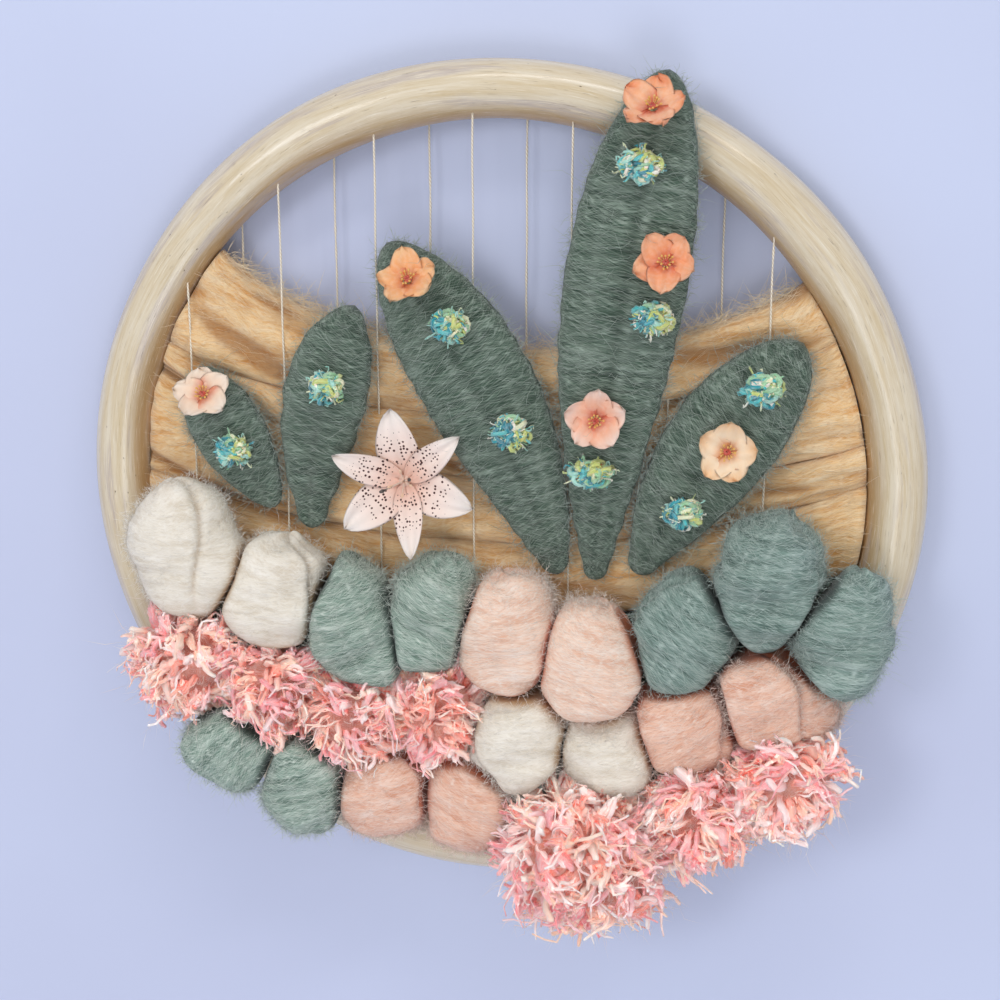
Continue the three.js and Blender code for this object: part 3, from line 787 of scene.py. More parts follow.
# ---- the hoop ----
# Where the ends butt, how far noise moves the surface in and out, and the joint's groove
HOOP_JOINT = math.radians(-90 + 13.8)
HOOP_STEPS = 330
HOOP_COLUMNS = 30
CANE_SWELL = 0.35
CANE_GRAIN = 0.14
JOINT_DEPTH = 0.4
JOINT_WIDTH = 1.3


def hoop_form():
    """A ring of round cane: a circle of the cane's radius carried round the ring, swollen and dented by
    slow noise along the grain, with a fine groove where its two ends butt."""
    turn = np.linspace(0, 1, HOOP_STEPS + 1)
    angle = HOOP_JOINT + 2 * np.pi * turn[:-1, None]
    section = 2 * np.pi * np.arange(HOOP_COLUMNS) / HOOP_COLUMNS
    along = 2 * np.pi * RING_RADIUS * turn
    ring = np.concatenate([RING_RADIUS * np.cos(angle), RING_RADIUS * np.sin(angle)], -1)
    swell = sway(ring, 160, 3)[:, None] * CANE_SWELL
    place = gridded(ring[:, :1] * 0.03, ring[:, 1:] * 0.03, 9 * np.cos(section), 9 * np.sin(section))
    grain = sway(place, 5.0, 5) * CANE_GRAIN
    near = np.minimum(along[:-1], 2 * np.pi * RING_RADIUS - along[:-1])[:, None]
    groove = JOINT_DEPTH * np.exp(-((near / JOINT_WIDTH) ** 2))
    radius = CANE_RADIUS + swell + grain - groove
    out = RING_RADIUS + radius * np.cos(section)
    points = gridded(out * np.cos(angle), radius * np.sin(section), out * np.sin(angle))
    girth = 2 * np.pi * CANE_RADIUS * np.linspace(0, 1, HOOP_COLUMNS + 1)
    return looped_grid(points, along[:, None], girth[None, :])


def cane_material():
    """Peeled cane: lengthwise grain in straw and cream that wanders, brushed lilac-grey patches, a
    yellow-brown painted shade on the inner face, short dark hairlines and small pits, a dark line at the
    butt joint, under a thin varnish."""
    material, tree, shader, _ = new_material("peeled_cane")
    fibre = fibre_map(tree)
    parts = parts_of(tree, fibre)
    slow = add_node(tree, "Mapping", {"Vector": fibre, "Scale": (0.012, 0.05, 1)}).outputs[0]
    drift = maths(tree, "SUBTRACT", noise(tree, slow, 1.0, 1.0), 0.5)
    across = maths(tree, "MULTIPLY_ADD", drift, 7.0, parts[1])

    def grain(along, over, depth, detail=3.0, roughness=0.6):
        drawn = maths(tree, "MULTIPLY", parts[0], along)
        return noise_at(tree, drawn, maths(tree, "MULTIPLY", across, over), depth, detail, roughness)

    broad, patch = grain(0.018, 0.3, 0.0, 5.0, 0.65), grain(0.011, 0.11, 20.0)
    fine, dark, hairline = grain(0.07, 2.6, 40.0, 4.0), grain(0.03, 0.9, 60.0), grain(0.11, 3.4, 80.0, 1.0)
    colours = {label: linear(code) for label, code in CANE_COLOURS.items()}
    base = mixed(tree, between(tree, broad, 0.3, 0.72), colours["pale"], colours["straw"])
    # Painted shade, warmed by a painted bounce light, on the ring's inner face
    inner = maths(tree, "ABSOLUTE", maths(tree, "SUBTRACT", parts[1], math.pi * CANE_RADIUS))
    inner = maths(tree, "MULTIPLY_ADD", drift, 14.0, inner)
    base = mixed(tree, between(tree, inner, 19.0, 7.0, 0.0, 0.75), base, colours["inner_face_shade"])
    brushed = between(tree, patch, 0.52, 0.66, 0.0, 0.8)
    brushed = maths(tree, "MULTIPLY", brushed, between(tree, fine, 0.3, 0.62))
    base = mixed(tree, brushed, base, colours["lilac"])
    base = mixed(tree, between(tree, fine, 0.56, 0.72, 0.0, 0.3), base, colours["brown"])
    base = mixed(tree, between(tree, fine, 0.45, 0.3, 0.0, 0.5), base, colours["bleached"])
    line = between(tree, hairline, 0.66, 0.74, 0.0, 0.75)
    line = maths(tree, "MULTIPLY", line, between(tree, dark, 0.46, 0.6))
    base = mixed(tree, line, base, colours["hairline"])
    drawn = {0: maths(tree, "MULTIPLY", parts[0], 0.4), 1: parts[1], 2: 5.0}
    pits = {"Vector": add_node(tree, "CombineXYZ", drawn).outputs[0], "Scale": 0.3}
    pit = add_node(tree, "TexVoronoi", pits, feature="F1").outputs["Distance"]
    pit = maths(tree, "MULTIPLY", between(tree, pit, 0.09, 0.03), between(tree, dark, 0.52, 0.58))
    base = mixed(tree, pit, base, colours["pit"])
    end = maths(tree, "MINIMUM", parts[0], maths(tree, "SUBTRACT", 2 * math.pi * RING_RADIUS, parts[0]))
    joint = between(tree, end, 0.7, 0.2)
    base = mixed(tree, joint, base, colours["joint"])
    sunk = maths(tree, "ADD", pit, maths(tree, "MULTIPLY_ADD", line, 0.5, joint))
    height = maths(tree, "SUBTRACT", maths(tree, "MULTIPLY_ADD", fine, 0.5, broad), sunk)
    rough = between(tree, patch, 0.4, 0.65, 0.4, 0.62)
    wire(tree, shader, Base_Color=base, Roughness=rough, Normal=bump(tree, height, 0.25))
    wire(tree, shader, Coat_Weight=0.7, Coat_Roughness=0.14)
    return material


# ---- the warp ----
def warp_form(index):
    """A taut thread: a small circle carried up a straight line from cane to cane, thickened a little
    here and there by slow noise."""
    x = (index - (WARP_COUNT - 1) / 2) * WARP_SPACING
    y = -WARP_DEPTH if index % 2 == 0 else WARP_DEPTH
    wall = RING_RADIUS - math.sqrt(CANE_RADIUS**2 - WARP_DEPTH**2) + WARP_BITE
    half = math.sqrt(wall**2 - x * x)
    height = np.linspace(-half, half, WARP_RINGS)
    across = x + WARP_WANDER * np.sin(height / 9 + index)
    line = np.stack([across, y + WARP_WANDER * np.cos(height / 7), height], -1)[None]
    thick = WARP_RADIUS * (1 + 0.18 * sway(height[:, None], 11, 80 + index))[None]
    return strands(line, [1.0, 0.0, 0.0], thick, tint=linear(TWINE_COLOURS["cord"]), sides=6, blunt=0.2)


def twine_material():
    """Cream twine: two plies that wind round it, seen as slanting stripes on the fibre map."""
    material, tree, shader, _ = new_material("warp_twine")
    fibre = fibre_map(tree)
    parts = parts_of(tree, fibre)
    colours = {label: linear(code) for label, code in TWINE_COLOURS.items()}
    wound = maths(tree, "MULTIPLY_ADD", parts[0], 1.6, maths(tree, "MULTIPLY", parts[1], 3.14))
    ply = maths(tree, "ABSOLUTE", maths(tree, "SINE", wound))
    fleck = noise(tree, fibre, 2.2, 3.0)
    # Painted shade in the valleys between the plies and painted light on their crowns, following the bump
    base = mixed(tree, between(tree, ply, 0.1, 0.8), colours["valley"], colours["ply"])
    base = mixed(tree, between(tree, fleck, 0.5, 0.7, 0.0, 0.5), base, colours["fleck"])
    wire(tree, shader, Base_Color=base, Roughness=0.75, Normal=bump(tree, ply, 0.15))
    wire(tree, shader, Sheen_Weight=0.2)
    return material


# ---- the swags ----
SWAG_ROWS = 100
SWAG_COLUMNS = 46
# Broad and narrow folds: their height and size, and the powers that square the section up and out
BROAD_FOLD = (1.9, 20)
NARROW_FOLD = (0.6, 9)
SWAG_SQUARENESS = (0.9, 0.55)


def edge_height(edge, s):
    """An edge's height: its middle, plus its rise by the square of s, plus its lean by s."""
    return edge[0] + edge[1] * s * s + edge[2] * s


def swag_form(index):
    """A roll of combed wool between two edges, with rounded flat section, drawn to a point at each
    end of the hoop's inside. Soft folds cross it at a slant: noise on the section that changes slowly
    along, with painted shade down in each valley and along the edges where the rolls tuck together."""
    upper, lower = SWAG_EDGES[index], SWAG_EDGES[index + 1]
    s = np.clip(np.linspace(-1.0, 1.0, SWAG_ROWS), -0.999, 0.999)
    s = np.concatenate([[-1.0], s, [1.0]])[:, None]
    reach = np.ones_like(s)
    reach[0] = reach[-1] = 0
    angle = 2 * np.pi * np.arange(SWAG_COLUMNS) / SWAG_COLUMNS
    middle = (edge_height(upper, s) + edge_height(lower, s)) / 2
    half = (edge_height(upper, s) - edge_height(lower, s)) / 2 + 1.5 * CLEAR
    long_way = s * FILL_RADIUS
    up, out = half * np.sin(angle), 11 * np.cos(angle)
    broad = sway(gridded(up + 0.2 * long_way, out, long_way * 0.12 + 40 * index), BROAD_FOLD[1], 11 + index)
    narrow = sway(gridded(up + 0.1 * long_way, out, long_way * 0.2 + 70 * index), NARROW_FOLD[1], 21 + index)
    folds = BROAD_FOLD[0] * broad + NARROW_FOLD[0] * narrow
    # Painted shade down in the valleys of the broad folds
    pinch = eased(-broad - 0.4 * narrow, 0.1, 1.7) * 0.75
    section_up = powered(np.sin(angle), SWAG_SQUARENESS[0])
    section_out = powered(np.cos(angle), SWAG_SQUARENESS[1])
    deep = SWAG_HALF_DEPTH - 0.3 + folds
    z = middle + reach * (half + 0.2 * folds) * section_up
    y = reach * deep * section_out
    x = s * np.sqrt((FILL_RADIUS + 0.8) ** 2 - z * z)
    points = gridded(x, -y, z)
    edge = eased(np.abs(section_up), 0.8, 1.0)
    # Painted shade along the upper and lower edges, where the swags tuck against each other
    tucked_shade = edge * np.where(section_up > 0, 0.0 if index == 0 else 0.1, 0.2)
    pinch = np.maximum(pinch, tucked_shade) * np.ones_like(z)
    seam = np.linspace(0, 1, SWAG_COLUMNS + 1)
    girth = 2 * (2 * half + 2 * SWAG_HALF_DEPTH)
    return closed_grid(points, long_way * 1.05 + 500 * index, seam * girth, pinch=pinch)


def along_swags(point):
    """The fibre direction at points of the swags: along the hoop, rising a little to each side."""
    return unit(np.stack([np.ones(len(point)), 0 * point[:, 0], 0.0024 * point[:, 0]], -1))


WISPS = 3800
WISP_LENGTH = 10
WISP_RISE = 4.2
WISP_RADIUS = 0.07


def wisp_form(rng, count):
    """Wisps over the first swag's upper edge: fine fibres that start along the edge, run mostly along
    it either way, and rise by a share that is small for most of them."""
    s = rng.uniform(-0.985, 0.985, count)
    height = edge_height(SWAG_EDGES[0], s) - rng.uniform(-0.5, 5, count)
    out = s * np.sqrt(np.maximum(FILL_RADIUS**2 - height**2, 0))
    deep = SWAG_HALF_DEPTH * rng.uniform(-0.85, 0.85, count)
    slope = (2 * SWAG_EDGES[0][1] * s + SWAG_EDGES[0][2]) / FILL_RADIUS
    way = unit(np.stack([np.ones(count), 0 * s, slope], -1)) * rng.choice([-1.0, 1.0], (count, 1))
    reach = rng.gamma(3.0, 0.33, (count, 1, 1)) * WISP_LENGTH
    rise = rng.gamma(1.6, 0.62, (count, 1, 1)) * WISP_RISE
    share = even_shares(4)
    swing = rng.normal(0, 1.0, (count, 1, 1)) * np.sin(rng.uniform(2, 6, (count, 1, 1)) * share)
    lines = np.stack([out, deep, height], -1)[:, None] + way[:, None] * reach * share
    lines = lines + np.array([0.1, 0.2, 1.0]) * (rise * share**0.8 + swing)
    inside = np.linalg.norm(lines[:, -1, [0, 2]], axis=-1) < RING_RADIUS - CANE_RADIUS
    lines = lines[inside]
    thick = WISP_RADIUS * rng.uniform(0.6, 1.4, (len(lines), 1))
    return strands(lines, [0.0, 1.0, 0.0], thick, sides=3, pointed=True)


# ---- the woven ground ----
# Half its thickness, the spacing of warps and picks, and the height of the weave
GROUND_HALF = 0.75
WARP_PITCH = WARP_SPACING / 2
PICK_PITCH = 2.6
GROUND_RELIEF = 0.35
GROUND_ROWS = 50
GROUND_COLUMNS = 84


def ground_faces():
    """The two faces of a woven sheet that fills the hoop below the last swag: a flat segment of the
    circle, with rows drawn from its upper edge to the circle, and a plain-weave relief that is a wave
    across times a wave up."""
    s = np.linspace(-1, 1, GROUND_COLUMNS)
    upper = edge_height(SWAG_EDGES[-1], s) - 1.2
    x_upper = s * np.sqrt(FILL_RADIUS**2 - upper**2)
    start = math.atan2(upper[0], x_upper[0])
    end = math.atan2(upper[-1], x_upper[-1])
    angle = np.linspace(start + 2 * np.pi if start < 0 else start, end + 2 * np.pi, GROUND_COLUMNS)
    x_lower, z_lower = FILL_RADIUS * np.cos(angle), FILL_RADIUS * np.sin(angle)
    t = np.linspace(0, 1, GROUND_ROWS)[:, None]
    x = x_upper * (1 - t) + x_lower * t
    z = upper * (1 - t) + z_lower * t
    relief = GROUND_RELIEF * np.sin(x * 2 * np.pi / WARP_PITCH) * np.sin(z * 2 * np.pi / (2 * PICK_PITCH))
    front = np.stack([x, -GROUND_HALF + relief, z], -1)
    back = np.stack([x, GROUND_HALF + relief, z], -1)
    return front, back


def ground_piece(material):
    """The ground: its two faces joined round their rim into one closed sheet."""
    front, back = ground_faces()
    rows, columns = front.shape[:2]
    count = rows * columns
    index = np.arange(count).reshape(rows, columns)
    quads = cells(index[..., None])[..., 0]
    rim = np.concatenate([index[0, :], index[1:, -1], index[-1, -2::-1], index[-2:0:-1, 0]])
    after = np.roll(rim, -1)
    wall = np.stack([after, rim, rim + count, after + count], -1)
    faces = np.concatenate([quads, quads[:, ::-1] + count, wall])
    vertices = np.concatenate([front.reshape(-1, 3), back.reshape(-1, 3)])
    form = outward(Form(vertices, [faces], [vertices[faces][:, :, [0, 2]]], {}))
    piece = make("woven_ground", form, material, "ground_yarn", "ground")


def weave_material():
    """Plain weave in grey-green yarn: each pick goes over and under the warps by turns, so its height
    is a half wave of the pick times a wave of the warp that flips from row to row."""
    material, tree, shader, _ = new_material("grey_green_weave")
    fibre = fibre_map(tree)
    parts = parts_of(tree, fibre)
    colours = {label: linear(code) for label, code in WEAVE_COLOURS.items()}
    row = maths(tree, "DIVIDE", parts[1], PICK_PITCH)
    pick = maths(tree, "SINE", maths(tree, "MULTIPLY", maths(tree, "FRACT", row), math.pi))
    odd = maths(tree, "MULTIPLY", maths(tree, "FLOOR", row), math.pi)
    over = maths(tree, "SINE", maths(tree, "MULTIPLY_ADD", parts[0], 2 * math.pi / WARP_PITCH, odd))
    strand = noise(tree, fibre, 2.4, 3.0, 0.6)
    height = maths(tree, "MULTIPLY", pick, maths(tree, "MULTIPLY_ADD", over, 0.35, 0.65))
    height = maths(tree, "MULTIPLY_ADD", strand, 0.35, height)
    # Painted shade where the weave lies low and painted light where it stands high
    base = mixed(tree, between(tree, height, 0.15, 0.9), colours["low"], colours["high"])
    base = mixed(tree, between(tree, strand, 0.56, 0.72, 0.0, 0.5), base, colours["fleck"])
    wire(tree, shader, Base_Color=base, Roughness=0.9, Normal=bump(tree, height, 0.9))
    wire(tree, shader, Specular_IOR_Level=0.2, Sheen_Weight=0.2)
    return material


# ---- puffs ----
def placed(row, run, back):
    """A puff as a dict, with the plane behind it and how far forward its middle is."""
    x, z, w, h, d, lean = row
    over = max(0, math.hypot(x, z) - HOOP_PUSHES_FROM) if back == WORK_PLANE else 0
    y = back - PUFF_STAND * d - HOOP_PUSH * over
    lean = math.radians(lean)
    return {"x": x, "y": y, "z": z, "w": w, "h": h, "d": d, "lean": lean, "run": run, "back": back}


def middle_of(puff):
    """The point that a puff is built about."""
    return np.array([puff["x"], puff["y"], puff["z"]])


def in_axes(puff, x, z):
    """An in-plane direction's share along a puff's half width and up its half height."""
    along = x * math.cos(puff["lean"]) + z * math.sin(puff["lean"])
    up = z * math.cos(puff["lean"]) - x * math.sin(puff["lean"])
    return along / puff["w"], up / puff["h"]


ALL_PUFFS = [
    placed(row, run, HOOP_FRONT_PLANE if run == "pompom" else WORK_PLANE)
    for runs in (PUFF_RUNS, PILE_RUNS)
    for run, rows in runs.items()
    for row in rows
]


def reach_in_plane(puff, x, z, square=PUFF_SQUARENESS):
    """How far the puff's outline reaches towards a direction in the plane of the hoop."""
    along, up = in_axes(puff, x, z)
    return (abs(along) ** square + abs(up) ** square) ** (-1 / square)


def presses_on(puff):
    """The planes that press on a puff, as normals, distances, and the seed and side of the waves that
    its contact has: the one behind it, the shoulder of the hoop, and one against each neighbour, at
    the share of the way that its reach gives it."""
    presses = [((0, 1, 0), puff["back"] - puff["y"], 0, 0)]
    out = math.hypot(puff["x"], puff["z"])
    if puff["back"] == WORK_PLANE:
        shoulder = (RING_RADIUS - out - puff["y"]) * math.sqrt(0.5) - CANE_RADIUS
        slope = (puff["x"] / out * math.sqrt(0.5), math.sqrt(0.5), puff["z"] / out * math.sqrt(0.5))
        presses.append((slope, shoulder - 2 * CLEAR, 0, 0))
    own_place = ALL_PUFFS.index(puff)
    for place, other in enumerate(ALL_PUFFS):
        dx, dz = other["x"] - puff["x"], other["z"] - puff["z"]
        apart = math.hypot(dx, dz)
        if other is puff or apart > NEIGHBOUR_RANGE:
            continue
        mine = reach_in_plane(puff, dx / apart, dz / apart)
        theirs = reach_in_plane(other, dx / apart, dz / apart)
        if mine + theirs > apart - NEAR_TOUCH:
            pair = 100 * min(place, own_place) + max(place, own_place)
            side = 1 if own_place < place else -1
            presses.append(((dx / apart, 0, dz / apart), apart * mine / (mine + theirs) - 0.1, pair, side))
    return presses


for one in ALL_PUFFS:
    one["presses"] = presses_on(one)


def swollen(puff, facing):
    """How much a full puff swells along each direction: towards each neighbour by what its free reach
    lacks of the contact, for the directions that face it."""
    swell = np.ones_like(facing[0])
    for (normal, distance, pair, _), face in zip(puff["presses"], facing):
        if pair:
            ratio = distance / CREASE_DEPTH / reach_in_plane(puff, normal[0], normal[2], FULL_SQUARENESS)
            swell = swell + max(0.0, ratio - 1) * face**2.4
    return np.minimum(swell, 1.5)


def contact_swing(puff, press, face, way):
    """How far a full puff's contact with a neighbour swings to and fro along its plane: two sine waves
    of the place on the plane, alike for both neighbours but of opposite sides."""
    normal, distance, pair, side = press
    spot = middle_of(puff) + way * np.minimum(distance / face, 60)[..., None]
    level = spot[..., 2] * abs(normal[0]) + spot[..., 0] * abs(normal[2])
    phase = pair * 1.7
    return side * CONTACT_SWING * (np.sin(level / 7 + phase) + 0.7 * np.sin(spot[..., 1] / 6 + 2 * phase))


def puff_reach(puff, way, full=False):
    """How far a puff reaches along unit directions, and how pinched it is there, which weights the
    painted shade in its creases. It is the squared ellipsoid about its middle, met softly by each press:
    the powers of all the limits are summed. A full puff is rounder and swells until it meets its
    neighbours at the depth where its creases begin, and its contacts swing."""
    along, up = in_axes(puff, way[..., 0], way[..., 2])
    shares = np.stack([along, up, way[..., 1] / puff["d"]], -1)
    square, sharp = (FULL_SQUARENESS, FULL_SHARPNESS) if full else (PUFF_SQUARENESS, PRESS_SHARPNESS)
    free = (np.abs(shares) ** square).sum(-1) ** (-1 / square)
    facing = [np.maximum(way @ np.array(press[0], float), 1e-3) for press in puff["presses"]]
    if full:
        free = free * swollen(puff, facing)
    total = free**-sharp
    sides = np.zeros_like(free)
    for press, face in zip(puff["presses"], facing):
        normal, distance, pair, _ = press
        swing = contact_swing(puff, press, face, way) if full and pair else 0
        limit = face / (distance + swing)
        total = total + limit**sharp
        if normal[1] == 0:
            sides = np.maximum(sides, limit)
    reach = total ** (-1 / sharp)
    return reach, eased(sides * reach, CREASE_DEPTH, 1.0)


def puff_axes(puff):
    """The puff's own directions: along its width, to the front and up its height."""
    lean = puff["lean"]
    along = np.array([math.cos(lean), 0, math.sin(lean)])
    up = np.array([-math.sin(lean), 0, math.cos(lean)])
    return along, np.array([0, -1.0, 0]), up


def cleft(puff, fall, angle, rng):
    """A cleft between two rolls, on a line from pole to pole that bows to one side: how far it draws
    the surface in, with a lap raised beside it, and how pinched it is, which is painted as shade."""
    aside = rng.choice([-1, 1])
    bow = aside * (rng.uniform(0.5, 0.95) + 0.35 * np.sin(1.2 * fall + rng.uniform(-0.5, 1.5)))
    off = (angle - np.pi / 2 - bow) * np.sin(fall) * puff["w"] * aside
    ends = rng.choice(CLEFT_ENDS)
    held = eased(np.sin(fall), 0.1, 0.5) * (1 - eased(fall, *ends))
    lap = 2.0 * eased(off, -1.5, 1.5) * (1 - eased(off, 6, 22))
    sunk = (2.8 * np.exp(-((off / 2.4) ** 2)) + lap) * held
    return sunk, 0.55 * np.exp(-((off / 1.6) ** 2)) * held


def valley(puff, angle, height, rng):
    """A valley between two lobes, along a level that rises and falls round the puff: its depth, its
    wave's phase, and how much of it there is at each point."""
    level = rng.uniform(0.45, 1.55) * puff["h"] * OVER_PUFF
    slope, phase, deep = rng.uniform(2, 9), rng.uniform(0, 6.28), rng.uniform(0.6, 3.6)
    line = level + slope * np.sin(angle + phase)
    fade = eased(np.cos(angle - rng.uniform(-2.6, -0.5)), -0.4, 0.7)
    return deep, phase, np.exp(-(((height - line) / rng.uniform(2.0, 3.6)) ** 2)) * fade


def puff_form(puff, seed):
    """A puff with its poles at the two ends of its height, so that its rings are the way its fibres
    run. Each point lies at the puff's reach along its direction, moved in and out by soft folds that
    run round it, by two deeper valleys between lobes, by gathers that meet at the poles, and, on the
    broad ones, by a cleft. Columns lie closer on the front."""
    rng = np.random.default_rng(900 + seed)
    fall = np.pi * np.linspace(0, 1, PUFF_ROWS)[:, None]
    even = np.arange(PUFF_COLUMNS + 1)[None, :] / PUFF_COLUMNS
    seam = even + 0.07 * np.sin(2 * np.pi * even)
    turn = seam[:, :-1]
    angle = 2 * np.pi * turn - np.pi / 2
    along, front, up = puff_axes(puff)
    tilt = rng.uniform(-0.3, 0.3)
    flat = np.cos(angle)[..., None] * along + np.sin(angle)[..., None] * front
    lowered = fall + tilt * np.sin(fall) * np.cos(angle)
    way = np.cos(lowered)[..., None] * up + np.sin(lowered)[..., None] * flat
    reach, pinch = puff_reach(puff, way, full=True)
    height = fall / np.pi * 2 * puff["h"] * OVER_PUFF
    folds = 0.5 * sway(around_rings(turn, 8.0, height), 17, seed)
    folds = folds + 0.3 * sway(around_rings(turn, 3.0, height), 7.5, seed + 100)
    folds = folds + 1.1 * sway(around_rings(turn + 0.25 * np.sin(fall), 14.0, height), 28, seed + 200)
    for _ in range(2):
        deep, phase, share = valley(puff, angle, height, rng)
        folds = folds - deep * share
        # Painted shade in the valleys between lobes
        pinch = np.maximum(pinch, 0.22 * deep / 2.4 * share)
    near = np.exp(-((np.sin(fall) / 0.42) ** 2))
    gathers = near * (np.sin(7 * angle + phase) + 0.6 * np.sin(11 * angle - phase)) * np.sin(fall) * 1.3
    folds = folds + gathers - 1.2 * near
    reach = reach + folds * (1 - 0.75 * pinch)
    if puff["w"] > CLEFT_FROM:
        sunk, pinched = cleft(puff, fall, angle, rng)
        reach, pinch = reach - sunk, np.maximum(pinch, pinched)
    points = middle_of(puff) + way * reach[..., None]
    # Painted shade where the gathers meet at the poles
    gather_shade = near * (0.45 - 0.25 * np.sin(7 * angle + phase)) * 0.6
    pinch = np.clip(np.maximum(pinch, gather_shade) * np.ones_like(reach), 0, 1)
    girth = seam * 2 * np.pi * 0.8 * puff["w"]
    return closed_grid(points, girth + 40 * seed, height + 90 * seed, pinch=pinch)


# ---- cut pile ----
# Frizz is fine fibre that leaves the strands, and frayed ends are thin threads that curl past them
BED_ROWS = 34
BED_COLUMNS = 44
PILE_RINGS = 7
LOCK_SWIRL = 0.8
FRIZZ_PER_STRAND = 2.15
FRIZZ_LENGTH = 7.0
FRIZZ_RADIUS = 0.075
FRAYED_LENGTHS = (7, 16)
FRAYED_RADIUS = 0.13
FRAYED_CURL = 2.2


def even_heads(count, rng):
    """Directions spread evenly over a ball: heights in even steps, each turned on by the golden
    angle, then moved a little."""
    step = np.arange(count) + 0.5
    level = 1 - 2 * step / count
    turn = math.pi * (1 + math.sqrt(5)) * step + rng.uniform(0, 6.28)
    flat = np.sqrt(1 - level * level)
    heads = np.stack([flat * np.cos(turn), level, flat * np.sin(turn)], -1)
    return unit(heads + rng.normal(0, 0.7 / math.sqrt(count), heads.shape))


def pile_bed(puffs, rng):
    """The bed of the pile: each puff's surface drawn in and lumpy with smooth noise, its tint from
    deep to pale by more noise, both dark as painted shade for the holes between the locks."""
    forms = []
    # Both bed colours are dark, as painted shade in the holes between the locks
    deep, pale = (linear(code) for code in PILE_BED_SHADE_COLOURS)
    for puff in puffs:
        way, fall = ball_way(BED_ROWS, BED_COLUMNS)
        reach, _ = puff_reach(puff, way)
        seed = int(rng.integers(1, 999))
        points = way * (reach * PILE_BED)[..., None]
        points = points * (1 + 1.3 * sway(points, 8, seed) / np.maximum(reach, 1))[..., None]
        share = eased(sway(points, 9, seed + 1), -0.9, 1.3)[..., None]
        tint = deep * (1 - share) + pale * share
        points = points + middle_of(puff)
        girth = np.linspace(0, 120, BED_COLUMNS + 1)[None, :]
        forms.append(closed_grid(points, girth, fall * 40, tint=tint))
    return forms


def lock_places(puffs, rng, locks):
    """Where the locks stand: spread evenly over each puff's bed, but not on its back, nor where
    another puff of the run covers them. Gives the places, their directions and the puff's reach."""
    found = []
    for puff in puffs:
        head = even_heads(locks, rng)
        head = head[head[:, 1] < 0.3]
        reach, _ = puff_reach(puff, head)
        shown = np.ones(len(head), bool)
        for other in puffs:
            if other is not puff:
                arm = middle_of(puff) + head * (reach * 0.9)[:, None] - middle_of(other)
                shown &= np.linalg.norm(arm, axis=1) > puff_reach(other, unit(arm))[0] * 0.8
        spot = middle_of(puff) + head * (reach * PILE_BED)[:, None]
        found.append((spot[shown], head[shown], reach[shown]))
    return (np.concatenate(parts) for parts in zip(*found))


def lay_of_locks(spot, head, rng, fall):
    """The way that each lock lies over the bed, drawn by smooth noise, more outwards and down, and how
    far it lifts, more at the sides."""
    over = unit(head * [1, 0, 1] + 1e-3) * 0.45 + np.array([0, 0, -fall]) + rng.normal(0, 0.5, head.shape)
    over = over + LOCK_SWIRL * np.stack([sway(spot, 22, seed) for seed in (5, 6, 7)], -1)
    over = unit(over - head * (over * head).sum(1, keepdims=True))
    front = np.clip(-head[:, 1], 0, 1)
    return over, 0.25 + 0.45 * (1 - front) + rng.normal(0, 0.14, len(head))


def crumpled(start, knee, tip, way, crumple, pitch, rng):
    """Strand lines: quadratic curves from start to tip with the knee as their middle control, and a
    wave that winds round each and grows to its tip. Also gives a sideways direction that turns slowly
    along each line."""
    count = len(start)
    t = even_shares(PILE_RINGS)
    lines = start[:, None] * (1 - t) ** 2 + 2 * knee[:, None] * t * (1 - t) + tip[:, None] * t * t
    side = square_to(way, rng)
    face = np.cross(way, side)
    swing = (crumple * rng.uniform(0.4, 1.3, count))[:, None, None] * t**0.7
    pitch = (pitch * rng.uniform(0.7, 1.3, count))[:, None, None]
    phase = rng.uniform(0, 6.28, (count, 1, 1))
    lines = lines + swing * (side[:, None] * np.sin(pitch * t + phase) + face[:, None] * np.cos(pitch * t))
    lines[..., 1] = np.clip(lines[..., 1], PILE_FRONT, WALL_PLANE - 2)
    turn = rng.normal(0, 1.0, (count, 1, 1)) * t
    return lines, side[:, None] * np.cos(turn) + face[:, None] * np.sin(turn)


def pile_tint(family, kind, rng):
    """A strand's tint: from a painted shade at its foot to a colour of its family, which changes to another
    of the family by the tip. Thin thread starts pale."""
    count = len(family)
    t = even_shares(PILE_RINGS)
    palette = np.array([[linear(code) for code in codes] for codes in PILE_COLOURS])
    hue, end = palette[family, rng.integers(0, 4, count)], palette[family, rng.integers(0, 4, count)]
    hue = np.where((kind == 1)[:, None], linear(PILE_THREAD), hue)
    shade = np.clip(t * 2.6, 0, 1) ** 0.6
    # Painted shade at each strand's foot, fading out over the first part of its length
    return linear(PILE_FOOT_SHADE) * (1 - shade) + (hue[:, None] * (1 - t) + end[:, None] * t) * shade


